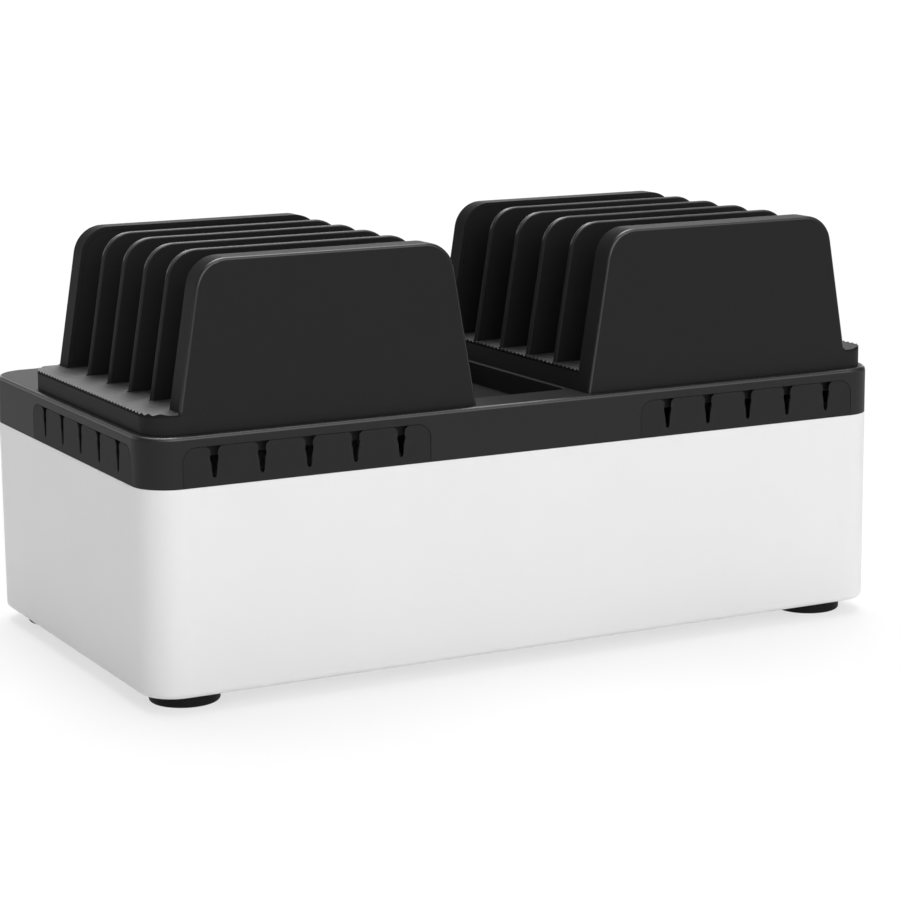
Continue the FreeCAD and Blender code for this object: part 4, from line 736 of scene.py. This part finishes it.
tray_black = moulded("tray_black", (0.022, 0.022, 0.0225), roughness=0.5, specular=0.03,
                     wear_and_highlight_tone=1.3, edge_width=0.0003, edge_gloss=0.8, glossy_edges="Face Polish")
# The dividers' edges take five times their colour over a wide round: a painted highlight along the edges.
divider_black = moulded("divider_black", (0.021, 0.021, 0.0215), roughness=0.5, specular=0.03,
                        wear_and_highlight_tone=5.0, edge_width=0.0012, edge_gloss=1.0)
DIVIDERS = range(1, 5)
for side in ("left", "right"):
    dress(tray_black, f"{side}_tray_body", f"{side}_tray_front_panel", f"{side}_tray_rear_panel")
    for number in DIVIDERS:
        dress(divider_black, f"{side}_tray_divider_{number}")

# Mats: ribbed rubber sheets in the trays, slit for the dividers. Low ridges run across the slots
# and end as small teeth along the outer edge, where the sheet is cut and duller, and its colour is painted
# darker as shade.

mat_black = moulded("mat_black", (0.020, 0.020, 0.0205), roughness=0.52, specular=0.7,
                    wear_and_highlight_tone=1.3, edge_width=0.0001)
# The cut walls are rougher, and their colour is painted darker than the sheet's, as shade on the teeth and
# slit walls.
mat_cut_shaded = moulded("mat_cut_shaded", (0.016, 0.016, 0.0162), roughness=0.75, specular=0.03,
                  wear_and_highlight_tone=1.1, edge_width=0.0001, grain_size=0.0004, grain_depth=0.00003)
RIB_COUNT = 41
RIB_STEPS = 12
RIB_HEIGHT = 0.0010
RIB_EASE = 0.12
MAT_SPARE = 0.00015
END_WALL = 0.014
SHELF_WIDTH = 0.0168
TRAY_CORNER = 0.0147
TRAY_CORNER_STEPS = 16


def rib_dip(share):
    """How far the mat's top lies below the ridge tops, by the share of a pitch from a ridge's middle: a
    triangle wave whose top and foot are eased by a root of squares."""
    apart = np.abs((share + 0.5) % 1.0 - 0.5) * 2
    crest = np.sqrt(apart ** 2 + RIB_EASE ** 2) - RIB_EASE
    foot = 1 - np.sqrt((1 - apart) ** 2 + RIB_EASE ** 2) + RIB_EASE
    blend = apart * apart * (3 - 2 * apart)
    return RIB_HEIGHT * (crest * (1 - blend) + foot * blend)


def mat_mesh(side, inner, outer, front, back, under, ridge, slits, slit_inner, slit_outer):
    """A sheet on a grid of distance from the middle plane and of y. Its top is the ridge height less the rib
    dip, and its underside is flat. The outer edge follows the tray's round corners: the distance drops by
    the radius less the root of the radius squared less the way into the corner squared. Cells in the slits
    and under the end walls are left out, and upright walls join the open edges of the two sheets. These
    walls are the last faces, and the third result counts them. The side, 1 or minus 1, mirrors the sheet."""
    rounding_digits = 6
    slit_column = 1
    strip_column = 3
    pitch = (back - front) / RIB_COUNT
    bend = TRAY_CORNER * (1 - np.cos(np.radians(np.linspace(0, 90, TRAY_CORNER_STEPS))))
    slot_ends = (front + END_WALL + MAT_SPARE, back - END_WALL - MAT_SPARE)
    y = np.concatenate((front + pitch * np.arange(RIB_COUNT * RIB_STEPS + 1) / RIB_STEPS,
                        front + bend, back - bend, slits.ravel(), slot_ends))
    y = np.unique(np.round(y, rounding_digits))
    into = TRAY_CORNER - np.minimum(np.minimum(y - front, back - y), TRAY_CORNER)
    edge = outer - TRAY_CORNER + np.sqrt(np.maximum(TRAY_CORNER ** 2 - into ** 2, 0.0))
    strip = outer - SHELF_WIDTH + 2 * MAT_SPARE
    straight = np.array((inner, slit_inner, slit_outer, strip))[:, None] + 0 * y
    apart = np.concatenate((straight, ((strip + edge) / 2)[None], edge[None]))
    grid_y = y + 0 * apart
    dip = rib_dip((grid_y - front) / pitch - 0.5)
    top = np.stack((side * apart, grid_y, ridge - dip), axis=-1).reshape(-1, 3)
    below = top.copy()
    below[:, 2] = under
    column, row = np.meshgrid(np.arange(len(apart) - 1), np.arange(len(y) - 1), indexing="ij")
    cell_y = (y[:-1] + y[1:]) / 2
    in_slit = ((cell_y[:, None] > slits[:, 0]) & (cell_y[:, None] < slits[:, 1])).any(axis=1)
    in_slots = (cell_y > slot_ends[0]) & (cell_y < slot_ends[1])
    kept = ((column >= strip_column) | in_slots[row]) & ~((column == slit_column) & in_slit[row])
    start = (column * len(y) + row)[kept]
    cells = np.stack((start, start + len(y), start + len(y) + 1, start + 1), axis=-1)
    edges = np.concatenate([cells[:, [turn, (turn + 1) % 4]] for turn in range(4)])
    _, place, uses = np.unique(np.sort(edges, axis=1), axis=0, return_inverse=True, return_counts=True)
    rim = edges[uses[place.ravel()] == 1]
    count = len(top)
    walls = np.stack((rim[:, 1], rim[:, 0], rim[:, 0] + count, rim[:, 1] + count), axis=-1)
    faces = np.concatenate((cells, cells[:, ::-1] + count, walls))
    return np.concatenate((top, below)), faces[:, ::side].tolist(), len(walls)


for name, side in (("left", -1), ("right", 1)):
    low, high = np.array(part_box(f"{name}_tray_body"))
    sheet_low, sheet_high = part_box(f"{name}_tray_mat")
    plates = [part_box(f"{name}_tray_divider_{number}") for number in DIVIDERS]
    slits = np.array([(plate[0][1] - MAT_SPARE, plate[1][1] + MAT_SPARE) for plate in plates])
    inner, outer = sorted((abs(sheet_low[0]), abs(sheet_high[0])))
    slit_inner, slit_outer = sorted((abs(plates[0][0][0]), abs(plates[0][1][0])))
    corners, faces, walls = mat_mesh(side, inner, outer, low[1], high[1], sheet_low[2], sheet_high[2],
                                     slits, slit_inner - MAT_SPARE, slit_outer + MAT_SPARE)
    mat = add_piece(f"{name}_ribbed_mat", corners, faces, mat_black, f"{name}_tray", smooth_angle=50)
    mat.data.materials.append(mat_cut_shaded)
    mat.data.polygons.foreach_set("material_index", np.arange(len(faces)) >= len(faces) - walls)
    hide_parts(f"{name}_tray_mat")

# Stage: a wide pale paper floor that fills the view and takes the object's shadow.
# Where it is seen or mirrored it also glows, so that it reads as white.

FLOOR_HALF = 20.0
FLOOR_TONE = 0.92
FLOOR_ROUGHNESS = 0.9
FLOOR_GLOW_SHARE = 0.65
floor_mesh = bpy.data.meshes.new("floor")
floor_corners = [(-FLOOR_HALF, -FLOOR_HALF, 0), (FLOOR_HALF, -FLOOR_HALF, 0),
                 (FLOOR_HALF, FLOOR_HALF, 0), (-FLOOR_HALF, FLOOR_HALF, 0)]
floor_mesh.from_pydata(floor_corners, [], [(0, 1, 2, 3)])
floor = bpy.data.objects.new("floor", floor_mesh)
bpy.context.scene.collection.objects.link(floor)
floor_paper, floor_shader, _ = blank_material("floor_paper")
floor_shader.inputs["Base Color"].default_value = (FLOOR_TONE, FLOOR_TONE, FLOOR_TONE, 1.0)
floor_shader.inputs["Roughness"].default_value = FLOOR_ROUGHNESS
floor_shader.inputs["Specular IOR Level"].default_value = 0.0
floor_tree = floor_paper.node_tree
seen = floor_tree.nodes.new("ShaderNodeLightPath")
seen_share = math_node(floor_tree, "MAXIMUM", seen.outputs["Is Camera Ray"], seen.outputs["Is Glossy Ray"])
seen_share = math_node(floor_tree, "MAXIMUM", seen_share, seen.outputs["Is Transmission Ray"])
seen_share = math_node(floor_tree, "MULTIPLY", seen_share, FLOOR_GLOW_SHARE)
floor_white = floor_tree.nodes.new("ShaderNodeEmission")
floor_white.inputs["Strength"].default_value = 1.0
floor_mix = floor_tree.nodes.new("ShaderNodeMixShader")
floor_tree.links.new(seen_share, floor_mix.inputs[0])
floor_tree.links.new(floor_shader.outputs[0], floor_mix.inputs[1])
floor_tree.links.new(floor_white.outputs[0], floor_mix.inputs[2])
floor_tree.links.new(floor_mix.outputs[0], floor_tree.nodes["Material Output"].inputs["Surface"])
floor_mesh.materials.append(floor_paper)

# Light: five soft glows in the sky, behind on the right, overhead, in front on the left, behind on the left
# and in front. Each has its way, focus and strength, and falls off with the cosine raised to the focus.

SKY_GLOWS = (
    ((0.45, 0.87, 0.15), 16.0, 2.6),
    ((0.12, 0.24, 0.96), 16.0, 7.8),
    ((-0.6, -0.75, 0.4), 4.0, 0.07),
    ((-0.49, 0.87, 0.06), 12.0, 0.6),
    ((0.1, -1.0, 0.35), 4.0, 1.97),
)
world = bpy.data.worlds.new("studio")
bpy.context.scene.world = world
world.use_nodes = True
sky = world.node_tree
sky_way = sky.nodes.new("ShaderNodeTexCoord")
sky_light = 0.0
for way, focus, strength in SKY_GLOWS:
    sky_dot = sky.nodes.new("ShaderNodeVectorMath")
    sky_dot.operation = "DOT_PRODUCT"
    sky_dot.inputs[1].default_value = Vector(way).normalized()
    sky.links.new(sky_way.outputs["Generated"], sky_dot.inputs[0])
    glow = math_node(sky, "MAXIMUM", sky_dot.outputs["Value"], 0.0)
    glow = math_node(sky, "POWER", glow, focus)
    glow = math_node(sky, "MULTIPLY", glow, strength)
    sky_light = math_node(sky, "ADD", glow, sky_light)
sky.links.new(sky_light, sky.nodes["Background"].inputs["Strength"])
sky.nodes["Background"].inputs["Color"].default_value = (1.0, 1.0, 1.0, 1.0)

# Camera: the photograph's own viewpoint, worked out from the straight edges of the object.
# Its place is in metres, and its lens and sensor are in millimetres.

CAMERA_PLACE = (-0.7019, -1.3698, 0.3957)
CAMERA_YAW = math.radians(-27.4956)
CAMERA_PITCH = math.radians(10.9866)
CAMERA_ROLL = math.radians(-0.5871)
CAMERA_LENS = 108.16
CAMERA_SENSOR = 36.0
CAMERA_NEAR = 0.05
CAMERA_FAR = 100.0
level_forward = Vector((-math.sin(CAMERA_YAW), math.cos(CAMERA_YAW), 0.0))
level_right = Vector((math.cos(CAMERA_YAW), math.sin(CAMERA_YAW), 0.0))
forward = math.cos(CAMERA_PITCH) * level_forward - math.sin(CAMERA_PITCH) * Vector((0, 0, 1))
upward = math.cos(CAMERA_PITCH) * Vector((0, 0, 1)) + math.sin(CAMERA_PITCH) * level_forward
right = math.cos(CAMERA_ROLL) * level_right + math.sin(CAMERA_ROLL) * upward
up = -math.sin(CAMERA_ROLL) * level_right + math.cos(CAMERA_ROLL) * upward
lens = bpy.data.cameras.new("camera")
lens.sensor_width = CAMERA_SENSOR
lens.lens = CAMERA_LENS
lens.clip_start = CAMERA_NEAR
lens.clip_end = CAMERA_FAR
camera = bpy.data.objects.new("camera", lens)
bpy.context.scene.collection.objects.link(camera)
turn = Matrix((right, up, -forward)).transposed()
camera.matrix_world = Matrix.Translation(CAMERA_PLACE) @ turn.to_4x4()
bpy.context.scene.camera = camera
bpy.context.scene.view_settings.view_transform = "Standard"
